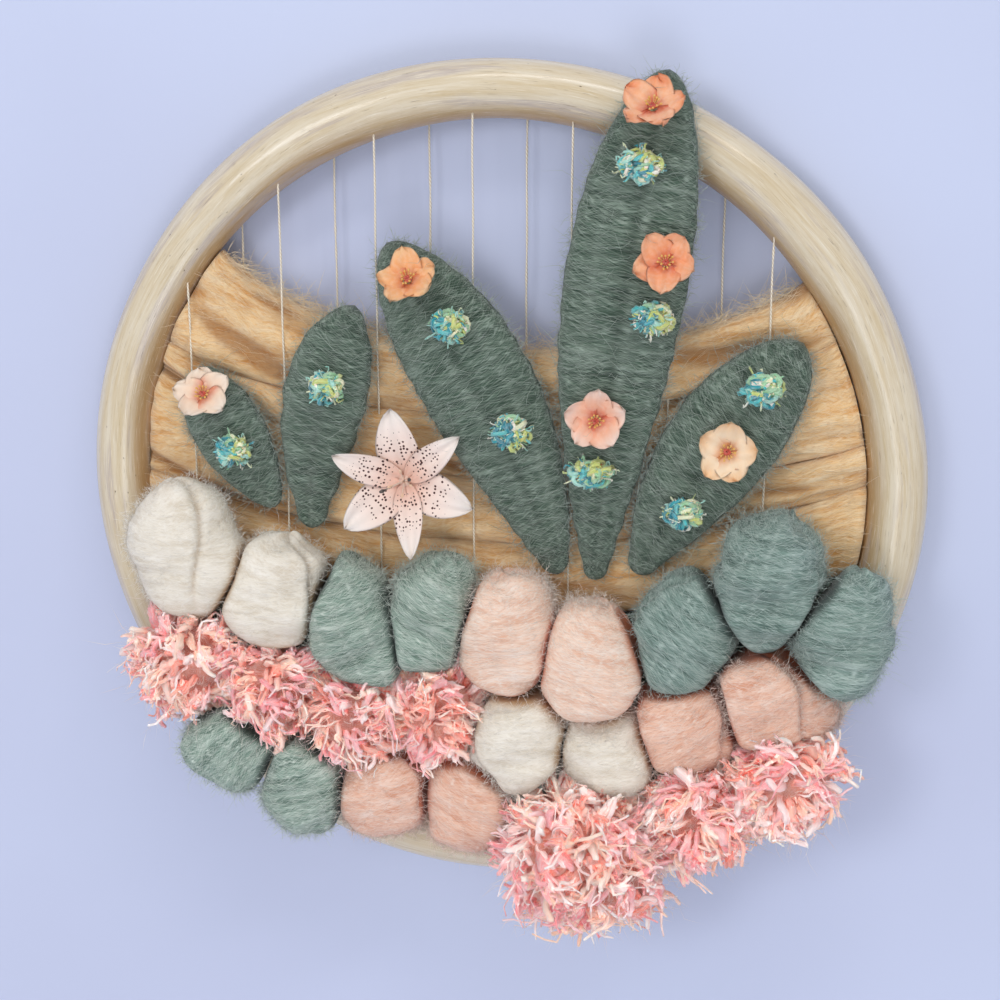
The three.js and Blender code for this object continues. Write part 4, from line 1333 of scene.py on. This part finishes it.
def pile_form(puffs, rng, locks, per_lock, long, fall=0.3):
    """Cut yarn laid in locks over a bed. A lock's strands share a way, and nearby locks a family of
    colours. They are thick soft yarn, thin looped thread or middling yarn. Each runs from the bed, out
    and over, crumpled, with a ragged section. Also gives the strands' lines, for frizz."""
    spot, head, reach = lock_places(puffs, rng, locks)
    over, lift = lay_of_locks(spot, head, rng, fall)
    zone = 2.0 + 1.5 * sway(spot, 30, 15) + rng.normal(0, 1.1, len(head))
    family = np.clip(np.round(zone), 0, len(PILE_COLOURS) - 1).astype(int)
    size = long * rng.uniform(0.75, 1.2, len(head))
    parts = (spot, head, reach, over, lift, family, size)
    spot, head, reach, over, lift, family, size = (np.repeat(part, per_lock, 0) for part in parts)
    count = len(head)
    kind = rng.choice(3, count, p=PILE_KINDS["share"])
    looks = ("wide", "thin", "crumple", "pitch", "reach")
    wide, thin, crumple, pitch, stretch = (np.array(PILE_KINDS[part])[kind] for part in looks)
    spot = spot + rng.normal(0, 1.9, (count, 3))
    over = unit(over + rng.normal(0, 0.24, (count, 3)))
    lift = np.clip(lift + rng.normal(0, 0.16, count), 0.1, 1.2)[:, None]
    way = unit(over * np.cos(lift) + head * np.sin(lift))
    size = size * stretch * rng.uniform(0.7, 1.15, count)
    room = reach * (PILE_REACH - PILE_BED) / np.maximum((way * head).sum(1), 0.15)
    size = np.minimum(size, room)[:, None]
    knee = spot + head * 0.25 * size + way * 0.25 * size
    tip = spot + way * size + head * 0.5
    lines, sideways = crumpled(spot - head * 2.5, knee, tip, way, crumple, pitch, rng)
    swell = np.array([[0.7, 0.95, 1.05, 1.0, 1.1, 1.0, 0.9]])
    width = (wide * rng.gamma(12.0, 1 / 12, count))[:, None] * swell
    depth = width * (thin * rng.uniform(0.8, 1.2, count))[:, None]
    ragged = rng.uniform(0.62, 1.3, (count, PILE_RINGS, 4))
    tint = pile_tint(family, kind, rng)
    yarn = strands(lines, sideways, width, depth, tint, blunt=0.7, ragged=ragged)
    return joined([*pile_bed(puffs, rng), yarn]), (lines, head, tint)


def frizz_form(strips, rng):
    """Frizz: fine fibres that leave the strands near their outer ends and beyond them, at a slant
    from the strand's way, and wind a little. They take the strand's tint, paler."""
    lines, head, tint = strips
    chosen = rng.integers(0, len(lines), int(FRIZZ_PER_STRAND * len(lines)))
    count = len(chosen)
    ring = rng.integers(1, lines.shape[1] - 1, count)
    part = rng.random((count, 1))
    start = lines[chosen, ring] * (1 - part) + lines[chosen, ring + 1] * part
    way = unit(lines[chosen, -1] - lines[chosen, 1])
    way = unit(way + head[chosen] * 0.4 + rng.normal(0, 0.5, (count, 3)))
    side = square_to(way, rng)
    reach = FRIZZ_LENGTH * rng.gamma(3.0, 0.33, (count, 1, 1))
    share = even_shares(3)
    swing = rng.normal(0, 0.25, (count, 1, 1)) * reach
    wound = start[:, None] + way[:, None] * reach * share
    wound = wound + side[:, None] * swing * np.sin(rng.uniform(2, 6, (count, 1, 1)) * share)
    wound[..., 1] = np.clip(wound[..., 1], PILE_FRONT, WALL_PLANE - 1)
    pale = tint[chosen, ring] * 0.35 + np.array([1, 0.92, 0.88, 1]) * 0.65
    thick = FRIZZ_RADIUS * rng.uniform(0.6, 1.6, (count, 1))
    return strands(wound, side[:, None], thick, tint=pale[:, None], sides=3, pointed=True)


def frayed_form(puffs, rng, count):
    """Frayed thread ends: thin threads that start inside the pile, run out past its reach, and wind
    in loose curls drawn by sine waves across them."""
    forms = []
    for puff in puffs:
        way = unit(rng.normal(size=(count * 3, 3)))
        way = way[way[:, 1] < 0.1][:count]
        number = len(way)
        reach, _ = puff_reach(puff, way)
        long = rng.uniform(*FRAYED_LENGTHS, number)
        start = middle_of(puff) + way * (reach * rng.uniform(0.75, 0.98, number))[:, None]
        head = way + rng.normal(0, 0.7, (number, 3))
        head[:, 1] = np.minimum(head[:, 1], 0.05)
        head = unit(head)
        side = square_to(head, rng)
        face = np.cross(head, side)
        share = even_shares(7)
        pitch = rng.uniform(3, 9, (number, 1, 1))
        swing = rng.uniform(0.2, 1.0, (number, 1, 1)) * FRAYED_CURL
        phase = rng.uniform(0, 6.28, (number, 1, 1))
        lines = start[:, None] + head[:, None] * long[:, None, None] * share * 0.6
        lines = lines + side[:, None] * swing * np.sin(pitch * share + phase) * share**0.5
        lines = lines + face[:, None] * swing * np.cos(pitch * share * 1.1 + phase) * share**0.5
        thick = FRAYED_RADIUS * rng.uniform(0.5, 1.5, (number, 1)) * np.linspace(1, 0.6, 7)[None]
        tint = tinted(FRAYED_COLOURS, rng.integers(0, len(FRAYED_COLOURS), number))
        forms.append(strands(lines, side[:, None], thick, tint=tint[:, None], sides=3))
    return joined(forms)


# ---- leaves ----
# The spacing of a leaf's rows, its columns, and its curve's length over the straight way to its tip
LEAF_ROW_PITCH = 1.2
LEAF_COLUMNS = 34
LEAF_BEND = 1.06


def leaf_at(leaf, s):
    """A leaf at shares s up it: the middle line's point, on a quadratic curve from foot to tip, its
    sideways direction, and the blade's half width and half depth, which widen and narrow by powers."""
    foot, bend, tip, w, d, plane = LEAVES[leaf]
    foot, bend, tip = (np.array(p, float) for p in (foot, bend, tip))
    s = np.asarray(s, float)[..., None]
    rib = foot * (1 - s) ** 2 + 2 * bend * s * (1 - s) + tip * s * s
    way = unit(2 * (1 - s) * (bend - foot) + 2 * s * (tip - bend))
    s = s[..., 0]
    fullest = LEAF_RISE / (LEAF_RISE + LEAF_FALL)
    full = (s / fullest) ** LEAF_RISE * (np.maximum(0, 1 - s) / (1 - fullest)) ** LEAF_FALL
    stalk = (1 - s) ** 6
    depth = d * full**0.45 * (1 - stalk) + STALK_HALF_DEPTH * stalk
    back = WORK_PLANE + (plane - WORK_PLANE) * eased(s, 0, 0.6)
    middle = np.stack([rib[..., 0], back - depth, rib[..., 1]], -1)
    side = np.stack([way[..., 1], 0 * s, -way[..., 0]], -1)
    return middle, side, w * full + STALK_HALF_WIDTH * stalk, depth


def on_leaf(leaf, up, across):
    """The point up a leaf and across it, just in front of its crown."""
    middle, side, width, depth = leaf_at(leaf, up)
    return middle + side * across * width + np.array([0, -depth - 2 * CLEAR, 0])


def leaf_form(name, seed):
    """A blade wrapped in wool: a lens-shaped section about the middle line, rounded off at its foot.
    The wraps are low soft ridges across it, close sine waves along the leaf whose pitch and slant
    wander, and a midrib groove lies along the front, with painted shade in it and between the wraps."""
    length = LEAF_BEND * float(np.linalg.norm(np.array(LEAVES[name][2], float) - LEAVES[name][0]))
    step = np.linspace(0, 1, int(length / LEAF_ROW_PITCH))
    s = 0.15 * (0.5 - 0.5 * np.cos(np.pi * step))[:, None] + 0.85 * step[:, None]
    middle, side, width, depth = leaf_at(name, s[:, 0])
    foot = np.clip(s[:, 0] * length / 6, 0, 1)
    reach = np.sqrt(foot * (2 - foot))
    reach[0] = reach[-1] = 0
    turn = np.arange(LEAF_COLUMNS)[None, :] / LEAF_COLUMNS
    angle = 2 * np.pi * turn + np.pi / 2
    along = s * length
    across = np.cos(angle)
    front = np.sin(angle) < 0
    slant = 3.5 * sway(gridded(along * 0.3, 3 * across), 12, seed)
    lines = along + slant + 2.5 * across * np.sin(along / 15 + seed)
    ridges = 0.5 + 0.5 * np.sin(2 * np.pi * lines / WRAP_PITCH + 1.5 * sway(lines[..., None], 13, seed + 5))
    strength = 0.4 + 0.3 * sway(around_rings(turn, 6, along), 20, seed + 2)
    lumps = sway(around_rings(turn, 9, along * 0.8), 15, seed + 9)
    grow = (strength * ridges + 0.6 * lumps - 0.3) * (1 - 0.6 * np.abs(across) ** 3)
    deep = depth[:, None] + grow
    starts = eased(s, 0.03, 0.2)
    rib = 0.9 * np.exp(-((across * width[:, None] / 3.2) ** 2)) * starts * (1 - eased(s, 0.9, 0.99))
    y = reach[:, None] * (deep * powered(np.sin(angle), 0.8) + np.where(front, rib, 0))
    wide = width[:, None] + 0.5 * grow + 0.35 * sway(gridded(along, 0 * angle), 17, seed + 3)
    points = middle[:, None] + side[:, None] * (reach[:, None] * wide * across)[..., None]
    points = points + np.stack([0 * y, y, 0 * y], -1)
    # Painted shade in the valleys between wraps and along the midrib groove
    crease_shade = np.where(front, np.exp(-((across * width[:, None] / 2.0) ** 2)), 0) * 0.4
    pinch = np.clip(0.16 * (1 - ridges) ** 2 + crease_shade * starts, 0, 1) * np.ones_like(y)
    seam = np.linspace(0, 1, LEAF_COLUMNS + 1)[None, :] * 4 * width.max()
    return closed_grid(points, seam + 60 * seed, along + 90 * seed, pinch=pinch)


# ---- flowers ----
# A petal's rows and columns, the height of its ruffles, and its thickness
PETAL_ROWS = 15
PETAL_COLUMNS = 15
PETAL_RUFFLE = 1.7
PETAL_THICKNESS = 0.35


def turned(points, tip, turn):
    """Points turned in the hoop's plane, then tipped back about the X axis, in degrees."""
    tip, turn = -math.radians(tip), math.radians(turn)
    about_y = np.array([[math.cos(turn), 0, math.sin(turn)], [0, 1, 0], [-math.sin(turn), 0, math.cos(turn)]])
    about_x = np.array([[1, 0, 0], [0, math.cos(tip), -math.sin(tip)], [0, math.sin(tip), math.cos(tip)]])
    return points @ about_y.T @ about_x.T


def dip_of(radius, cup, tip):
    """How far the lowest petal of a tipped flower hangs behind its foot."""
    facing = math.cos(math.radians(tip))
    return max(0.0, radius * (math.sqrt(1 - facing**2) - cup * facing))


def petal_form(angle, length, width, rise, colours, rng, curl, point, notch=0.0):
    """A petal: a strip from the flower's middle out to its length, as wide as a power of a sine, its
    height rising by a power of the share, curled back at its tip, and ruffled at its sides and rim
    by waves that grow outwards. It is closed by a second face a little beneath."""
    share = np.linspace(0, 1, PETAL_ROWS)[:, None]
    across = np.linspace(-1, 1, PETAL_COLUMNS)[None, :]
    broad = width * np.sin(np.pi * np.clip(share, 0, 1) ** (0.62 if notch else 0.75)) ** (1 / point)
    broad = np.maximum(broad, 0.12 * width * (1 - share))
    out = length * (share + 0.02 + 0.12 * notch * share**7 * (1 - np.abs(across) ** 1.5))
    out = out * (1 - notch * 0.1 * np.exp(-((across / 0.25) ** 2)) * share**8)
    side = broad * across
    phase = rng.uniform(0, 6.28, 3)
    wave = np.sin(across * 4.2 + share * 5 + phase[0]) + 0.7 * np.sin(across * 7.5 - share * 3 + phase[1])
    lift = rise * length * share**1.4 - curl * length * share**3
    lift = lift + PETAL_RUFFLE * wave * share**1.5 * (0.35 + 0.65 * np.abs(across))
    lift = lift + 0.12 * width * across**2 - 0.06 * width * np.exp(-((across / 0.18) ** 2)) * (1 - share)
    cos, sin = math.cos(angle), math.sin(angle)
    top = gridded(out * cos - side * sin, -lift, out * sin + side * cos)
    ring = np.concatenate([top, (top + [0, PETAL_THICKNESS, 0])[:, -2:0:-1]], 1)
    poles = [np.broadcast_to(row.mean(1, keepdims=True), row.shape) for row in (ring[:1], ring[-1:])]
    ring = np.concatenate([poles[0], ring, poles[1]])

    def round_both(face, underside_shade=1.0):
        """Values of the upper face carried on round the lower one, scaled there by the underside's painted
        shade, and to the poles.
        """
        both = np.concatenate([face, face[:, -2:0:-1] * underside_shade], 1)
        return np.concatenate([both[:1], both, both[-1:]])

    inner, middle, outer = (linear(code) for code in colours)
    near = eased(share, 0.02, 0.5)[..., None] * np.ones_like(across)[..., None]
    far = eased(share, 0.45, 1.0)[..., None]
    vein = 0.5 + 0.5 * np.cos(across * 9 + phase[2])
    tint = (inner * (1 - near) + middle * near) * (1 - far) + outer * far
    # The lower face is darkened to 0.9 as painted shade under the petal
    tint = round_both(tint * (0.93 + 0.07 * vein[..., None]), 0.9)
    tint[..., 3] = 1
    freckle = (1 - eased(share, 0.45, 0.85)) * eased(share, 0.1, 0.2) * np.ones_like(across)
    seam = np.linspace(0, 2, ring.shape[1] + 1)[None, :] * 2 * width
    along = np.concatenate([[0.0], share[:, 0], [1.0]])[:, None] * length
    return closed_grid(ring, seam + rng.uniform(0, 90), along, tint=tint, freckle=round_both(freckle))


def plain(form):
    """A form with no freckles."""
    form.values["freckle"] = np.zeros(len(form.vertices))
    return form


def stamens_form(count, length, spread, colour, head, rng, radius, bulb):
    """Stamens: thin curved stalks that lean out from the middle, each with a swollen head."""
    angle = 2 * np.pi * (np.arange(count) + rng.uniform(-0.2, 0.2, count)) / count
    out = spread * rng.uniform(0.6, 1.1, count)
    share = np.array([0, 0.35, 0.7, 0.84, 0.92, 1.0])[None, :, None]
    lean = np.stack([np.cos(angle), 0 * angle, np.sin(angle)], -1) * out[:, None]
    tall = length * rng.uniform(0.8, 1.1, count)
    lines = lean[:, None] * share**1.3 + np.array([0, -1.0, 0]) * tall[:, None, None] * share
    profile = np.array([[1, 0.8, 0.7, 1, bulb / radius, bulb / radius * 0.6]]) * radius
    tint = np.where(share > 0.8, linear(head), linear(colour))
    return plain(strands(lines, [1.0, 0.01, 0], profile, tint=tint, sides=6, blunt=0.6))


def stalk_form(depths, radii, colour):
    """A flower's stalk: a round rod from back to front, with a radius at each of three depths."""
    line = np.array([[[0, depth, 0] for depth in depths]])
    return plain(strands(line, [1.0, 0, 0], np.array([radii]), tint=linear(colour), sides=8))


def set_on(form, tip, turn, place):
    """A form turned, tipped and moved to its place."""
    form.vertices = turned(form.vertices, tip, turn) + np.array(place)
    return form


def blossom_form(name, seed):
    """Five ruffled petals, each cupped and curled by its own amount, round a middle with stamens."""
    leaf, up, across, radius, tip, turn, way = BLOSSOMS[name]
    rng = np.random.default_rng(seed)
    outer, middle, inner = BLOSSOM_COLOURS[way]
    colours = (inner, middle, outer) if seed % 2 else (inner, outer, middle)
    trim = BLOSSOM_TRIM
    forms = []
    for k in range(5):
        angle = math.pi / 2 + 2 * math.pi * k / 5 + rng.uniform(-0.1, 0.1)
        rise, curl = BLOSSOM_CUP * rng.uniform(0.65, 1.5), rng.uniform(-0.05, 0.3)
        long, wide = radius * rng.uniform(0.88, 1.02), radius * rng.uniform(0.52, 0.6)
        forms.append(petal_form(angle, long, wide, rise, colours, rng, curl, point=2.6, notch=0.6))
        forms[-1].vertices[:, 1] -= 0.4 + 0.5 * (k % 2)
    forms.append(stamens_form(11, radius * 0.34, radius * 0.26, trim["stamen"], trim["head"], rng, 0.28, 0.6))
    forms.append(stamens_form(7, radius * 0.2, radius * 0.1, inner, trim["eye"], rng, 0.8, 1.1))
    dip = dip_of(radius, BLOSSOM_CUP, tip)
    forms.append(stalk_form((0.8 * dip + 0.2, 0.2, -1.2), (1.2, 1.2, 2.2), trim["stalk"]))
    return set_on(plain(joined(forms)), tip, turn, on_leaf(leaf, up, across) + np.array([0, -dip, 0]))


def lily_form(seed):
    """Three broad and three narrow petals by turns, arched out and curled back at their tips, pale at
    the rim and freckled in the throat, round six stamens, two with dark heads."""
    rng = np.random.default_rng(seed)
    radius, trim = LILY["radius"], LILY_TRIM
    pale, mid, throat = LILY_COLOURS
    forms = []
    for k in range(6):
        angle = math.pi / 2 + math.pi * k / 3
        width, ahead = (radius * 0.3, 0.3) if k % 2 == 0 else (radius * 0.21, 0.9)
        rise, curl = rng.uniform(0.5, 0.74), rng.uniform(0.12, 0.5)
        forms.append(petal_form(angle, radius, width, rise, (throat, mid, pale), rng, curl, point=1.5))
        forms[-1].vertices[:, 1] -= ahead
    forms.append(stamens_form(4, radius * 0.42, radius * 0.2, trim["stamen"], trim["head"], rng, 0.45, 0.8))
    forms.append(stamens_form(2, radius * 0.5, radius * 0.26, trim["long"], trim["dark"], rng, 0.45, 1.0))
    forms.append(stalk_form((8.4, 4, -1.5), (1.3, 1.5, 3.0), trim["stalk"]))
    return set_on(joined(forms), LILY["tip"], LILY["turn"], LILY["middle"])


def petal_material():
    """Petal cloth: the tint attribute, fine crossed threads, and dark freckles where the freckle
    attribute allows them."""
    material, tree, shader, _ = new_material("petal_cloth")
    fibre = fibre_map(tree)
    tint, freckle = attribute(tree, "tint", "Color"), attribute(tree, "freckle")
    parts = parts_of(tree, fibre)
    warp = maths(tree, "SINE", maths(tree, "MULTIPLY", parts[0], 14.0))
    weft = maths(tree, "SINE", maths(tree, "MULTIPLY", parts[1], 14.0))
    cloth = maths(tree, "MULTIPLY", warp, weft)
    fade = noise(tree, fibre, 0.5, 3.0)
    colour = mixed(tree, between(tree, fade, 0.35, 0.7, 0.0, 0.16), tint, (1, 0.88, 0.78, 1))
    colour = mixed(tree, between(tree, cloth, -0.2, 1.0, 0.0, 0.12), colour, (1, 0.95, 0.9, 1))
    spots = add_node(tree, "TexVoronoi", {"Vector": fibre, "Scale": 0.56, "Randomness": 0.55})
    spot = maths(tree, "LESS_THAN", spots.outputs["Distance"], maths(tree, "MULTIPLY", freckle, 0.33))
    height = maths(tree, "MULTIPLY_ADD", cloth, 0.3, fade)
    wire(tree, shader, Base_Color=mixed(tree, spot, colour, linear(FRECKLE_COLOUR)), Roughness=0.7)
    wire(tree, shader, Normal=bump(tree, height, 0.12), Sheen_Weight=0.15, Specular_IOR_Level=0.3)
    return material


# ---- knots of fancy yarn ----
KNOT_LOOPS = 60
KNOT_ENDS = 80
KNOT_LOOP_RADIUS = 1.15
KNOT_END_RADIUS = 0.42


def knot_loops(middle, size, rng):
    """Loops that rise from the leaf, arch over the knot's ellipsoid and return. Their dyes go from the
    blues on one side to the limes on the other."""
    way = unit(rng.normal(size=(260, 3)))
    way = way[way[:, 1] < 0.25][:KNOT_LOOPS]
    count = len(way)
    tangent = square_to(way, rng)
    bow = 2 * even_shares(7) - 1
    spread = rng.uniform(0.2, 0.55, (count, 1, 1))
    height = rng.uniform(0.72, 1.32, (count, 1, 1)) * (1 - 0.42 * bow**2)
    lines = middle + (way[:, None] * height + tangent[:, None] * spread * np.sin(bow * 2.4)) * size
    lines = lines + np.cross(way, tangent)[:, None] * spread * 2.4 * bow * rng.choice([-1, 1], (count, 1, 1))
    thick = KNOT_LOOP_RADIUS * rng.uniform(0.6, 1.3, (count, 1))
    tone = rng.beta(0.8, 0.8, count)
    swing = eased((way[:, 0] + 0.6 * way[:, 2] + rng.normal(0, 0.35, count)), -0.9, 1.1)
    pick = np.where(swing < 0.55, rng.choice([0, 0, 1, 1, 2, 6], count), rng.choice([3, 3, 4, 7, 7], count))
    pick = np.where(tone > 0.93, rng.choice([2, 4, 5], count), pick)
    tint = tinted(KNOT_COLOURS, pick)[:, None] * rng.uniform(0.9, 1.05, (count, 1, 1))
    return strands(lines, tangent[:, None], thick, tint=tint, blunt=0.4)


def knot_fringe(middle, size, rng):
    """Short loose ends that start inside the knot's ellipsoid and bend as they leave it."""
    way = unit(rng.normal(size=(300, 3)))
    way = way[way[:, 1] < 0.35][:KNOT_ENDS]
    count = len(way)
    share = even_shares(5)
    bend = rng.normal(0, 2.0, (count, 1, 3))
    out = 0.75 + 0.6 * share * rng.uniform(0.4, 1.2, (count, 1, 1))
    lines = middle + way[:, None] * size * out + bend * np.sin(2.4 * share) ** 2
    thick = KNOT_END_RADIUS * rng.uniform(0.6, 1.4, (count, 1)) * np.array([[1, 1, 1, 0.9, 0.8]])
    tint = tinted(KNOT_COLOURS, rng.choice([0, 1, 2, 2, 3, 4, 5, 7], count))
    sideways = np.cross(way, [0.3, 0.2, 1.0])[:, None]
    return strands(lines, sideways, thick, tint=tint[:, None], sides=3)


def knot_form(name, seed):
    """A tuft of looped yarn: loops and a fringe over a plain ellipsoid."""
    leaf, up, across, w, d, h = KNOTS[name]
    rng = np.random.default_rng(seed)
    size = np.array([w, d, h])
    lens = leaf_at(leaf, up)[3] * (1 - (1 - across**2) ** 0.4)
    middle = on_leaf(leaf, up, across) + np.array([0, lens + 0.9 - d, 0])
    loops, fringe = knot_loops(middle, size, rng), knot_fringe(middle, size, rng)
    way, fall = ball_way(9, 12)
    tint = np.broadcast_to(linear(KNOT_HEART), (9, 12, 4))
    heart = closed_grid(middle + way * size * 0.78, np.linspace(0, 30, 13)[None], fall * 8, tint=tint)
    return joined([heart, loops, fringe])


# ---- the stage ----
STAGE_HALF = 2400
FLOOR_HEIGHT = -1500


def wall_paint():
    """Wall paint with a faint mottle, clear from behind, so that the hanging's back can be seen."""
    material, tree, shader, output = new_material("painted_wall")
    mottle = between(tree, noise(tree, object_place(tree), 3.0), 0.3, 0.7)
    paint = mixed(tree, mottle, linear(STAGE_COLOURS["wall"]), linear(STAGE_COLOURS["mottle"]))
    wire(tree, shader, Base_Color=paint, Roughness=0.85, Specular_IOR_Level=0.2)
    behind = add_node(tree, "NewGeometry").outputs["Backfacing"]
    clear = add_node(tree, "BsdfTransparent").outputs[0]
    blend = add_node(tree, "MixShader", {0: behind, 1: shader.outputs[0], 2: clear})
    feed(tree, output.inputs["Surface"], blend.outputs[0])
    return material


def floor_paint():
    """Plain pale floor."""
    material, tree, shader, _ = new_material("pale_floor")
    wire(tree, shader, Base_Color=linear(STAGE_COLOURS["floor"]), Roughness=0.8)
    return material


def board(name, corners, material):
    """A flat four-cornered board of the stage, which faces the hanging."""
    mesh = bpy.data.meshes.new(name)
    mesh.from_pydata([tuple(to_frame(corner)) for corner in corners], [], [(0, 1, 2, 3)])
    mesh.materials.append(material)
    item = bpy.data.objects.new(name, mesh)
    bpy.context.collection.objects.link(item)


def set_room():
    """Even light from all round, and the wall's colour where the camera sees past the boards."""
    world = bpy.data.worlds.new("room")
    bpy.context.scene.world = world
    world.use_nodes = True
    tree = world.node_tree
    tree.nodes.clear()
    camera = add_node(tree, "LightPath").outputs["Is Camera Ray"]
    light = {"Color": ROOM_LIGHT, "Strength": ROOM_STRENGTH}
    light = add_node(tree, "Background", light).outputs[0]
    seen = {"Color": linear(STAGE_COLOURS["wall"]), "Strength": 1.0}
    seen = add_node(tree, "Background", seen).outputs[0]
    blend = add_node(tree, "MixShader", {0: camera, 1: light, 2: seen})
    add_node(tree, "OutputWorld", {"Surface": blend.outputs[0]})


def set_stage():
    """A wall behind the hoop, a floor far below, soft lamps and the room."""
    half, near, back, low = STAGE_HALF, -2 * STAGE_HALF, WALL_PLANE, FLOOR_HEIGHT
    wall = [(-half, back, low), (half, back, low), (half, back, half), (-half, back, half)]
    floor = [(-half, near, low), (half, near, low), (half, back, low), (-half, back, low)]
    board("wall", wall, wall_paint())
    board("floor", floor, floor_paint())
    for name, row in LAMPS.items():
        set_lamp(name, *row)
    set_room()


# ---- the hanging, put together ----
# Rows: fibres on a swag, puff or leaf, their length, lift, radius and curl, points along each, and how
# much they keep to the rim, where the wool turns away from the front
SWAG_FLUFF = [(500, 14, 1.6, 0.06, 0.25, 4, 0)]
PUFF_FLUFF = [(260, 8, 1.1, 0.06, 0.4, 4, 0), (1080, 3.8, 2.0, 0.085, 0.9, 3, 1)]
LEAF_FLUFF = [(620, 11, 0.6, 0.075, 0.5, 4, 0), (1900, 3.6, 1.9, 0.1, 1.0, 3, 1)]

# How each wool is combed: its pale fuzz, relief and sheen, and the strands' width, length, sway, crimp
# and cross
WOOL_COMBS = {
    "tan": {"fuzz": 0.4, "sheen": 0.4, "width": 1.0, "length": 9, "sway": 10, "crimp": 1.8, "cross": 0.22},
    "cream": {"fuzz": 0.4, "depth": 0.13, "length": 7, "crimp": 2.0, "cross": 0.4},
    "sage": {"fuzz": 0.58, "depth": 0.17, "width": 0.85, "length": 10, "crimp": 1.6, "cross": 0.3},
    "deep_sage": {"fuzz": 0.54, "depth": 0.17, "width": 0.85, "length": 10, "crimp": 1.6, "cross": 0.3},
    "peach": {"fuzz": 0.5, "depth": 0.16, "length": 8, "crimp": 1.8, "cross": 0.3},
    "deep_peach": {"fuzz": 0.5, "depth": 0.16, "length": 8, "crimp": 1.8, "cross": 0.3},
    "leaf": {"fuzz": 0.75, "depth": 0.32, "sheen": 0.2, "width": 1, "length": 13, "crimp": 2, "cross": 0.4},
}
PUFF_DYES = ("cream", "sage", "deep_sage", "peach", "deep_peach")
DEEP_DYES = {"sage_right": "deep_sage", "peach_low": "deep_peach", "peach_side": "deep_peach"}
PILE_MAKE = {
    "pile_band": {"locks": 132, "per_lock": 6, "long": 14.0},
    "pile_side": {"locks": 160, "per_lock": 6, "long": 17.0, "fall": 0.5},
    "pompom": {"locks": 330, "per_lock": 6, "long": 18.0},
}
FRAYED_ENDS = {"pile_band": 70, "pile_side": 70, "pompom": 200}


def roving(dye, name=None):
    """The wool material of one dye."""
    return wool_material(name or f"{dye}_roving", WOOL_COLOURS[dye], **WOOL_COMBS[dye])


def puffs_of(run):
    """The puffs of one run."""
    return [puff for puff in ALL_PUFFS if puff["run"] == run]


set_camera()
set_stage()
bpy.context.scene.view_settings.view_transform = "Standard"

make("cane_hoop", hoop_form(), cane_material(), "cane", "hoop")
twine = twine_material()
for index in range(WARP_COUNT):
    label = f"{index + 1:02d}"
    make(f"warp_thread_{label}", warp_form(index), twine, "warp_thread", f"warp_{label}")

tan = roving("tan")
tan_fluff = fluff_material("tan_fibres", WOOL_COLOURS["tan"]["pale"])
for index in range(len(SWAG_EDGES) - 1):
    form = swag_form(index)
    swag = make(f"combed_swag_{index + 1}", form, tan, "tan_wool", f"swag_{index + 1}")
    rng = np.random.default_rng(400 + index)
    forms = fluff_over(form, SWAG_FLUFF, rng, along=along_swags)
    if index == 0:
        forms.append(wisp_form(rng, WISPS))
    make(f"swag_fibres_{index + 1}", joined(forms), tan_fluff, "tan_wool")

ground_piece(weave_material())

dyes = {dye: roving(dye) for dye in PUFF_DYES}
fibres = {dye: fluff_material(f"{dye}_fibres", WOOL_COLOURS[dye]["pale"]) for dye in dyes}
for number, run in enumerate(PUFF_RUNS):
    wool = run.split("_")[0]
    dye = DEEP_DYES.get(run, wool)
    puffs = puffs_of(run)
    form = joined([puff_form(puff, 10 * number + k + 1) for k, puff in enumerate(puffs)])
    piece = make(f"wool_{run}", form, dyes[dye], f"{wool}_wool", f"puffs_{run}")
    rng = np.random.default_rng(500 + number)
    open_wool = (1.02 - form.values["pinch"]) ** 3
    forms = fluff_over(form, PUFF_FLUFF, rng, len(puffs), open_wool)
    make(f"fibres_{run}", joined(forms), fibres[dye], f"{wool}_wool")

pile_yarn = yarn_material("cut_yarn", depth=0.14, light=0.3, sheen=0.6, width=0.6, soft=1.0)
thread = yarn_material("frayed_thread", depth=0.05, light=0.2, sheen=0.6, gloss=0.8)
for number, (run, settings) in enumerate(PILE_MAKE.items()):
    rng = np.random.default_rng(600 + number)
    form, strips = pile_form(puffs_of(run), rng, **settings)
    make(f"yarn_{run}", form, pile_yarn, "pile_yarn", run)
    loose = frayed_form(puffs_of(run), rng, FRAYED_ENDS[run])
    make(f"frayed_{run}", joined([loose, frizz_form(strips, rng)]), thread, "pile_yarn")

leaf_wool = roving("leaf", "leaf_wool")
leaf_fluff = fluff_material("leaf_fibres", LEAF_FIBRES)
for number, name in enumerate(LEAVES):
    form = leaf_form(name, 30 + number)
    make(f"wrapped_{name}", form, leaf_wool, "leaf_wool", name)
    rng = np.random.default_rng(700 + number)
    forms = fluff_over(form, LEAF_FLUFF, rng, 1 if name.startswith("leaf") else 0.5)
    make(f"fibres_{name}", joined(forms), leaf_fluff, "leaf_wool")

petals = petal_material()
for number, name in enumerate(BLOSSOMS):
    make(f"cloth_{name}", blossom_form(name, 51 + number), petals, "blossom_cloth", name)
make("cloth_lily", lily_form(61), petals, "lily_cloth", "lily")

fancy = yarn_material("fancy_yarn", depth=0.1, light=0.2, sheen=0.4, gloss=0.8, soft=0.25)
for number, name in enumerate(KNOTS):
    make(f"fancy_{name}", knot_form(name, 71 + number), fancy, "knot_yarn", name)
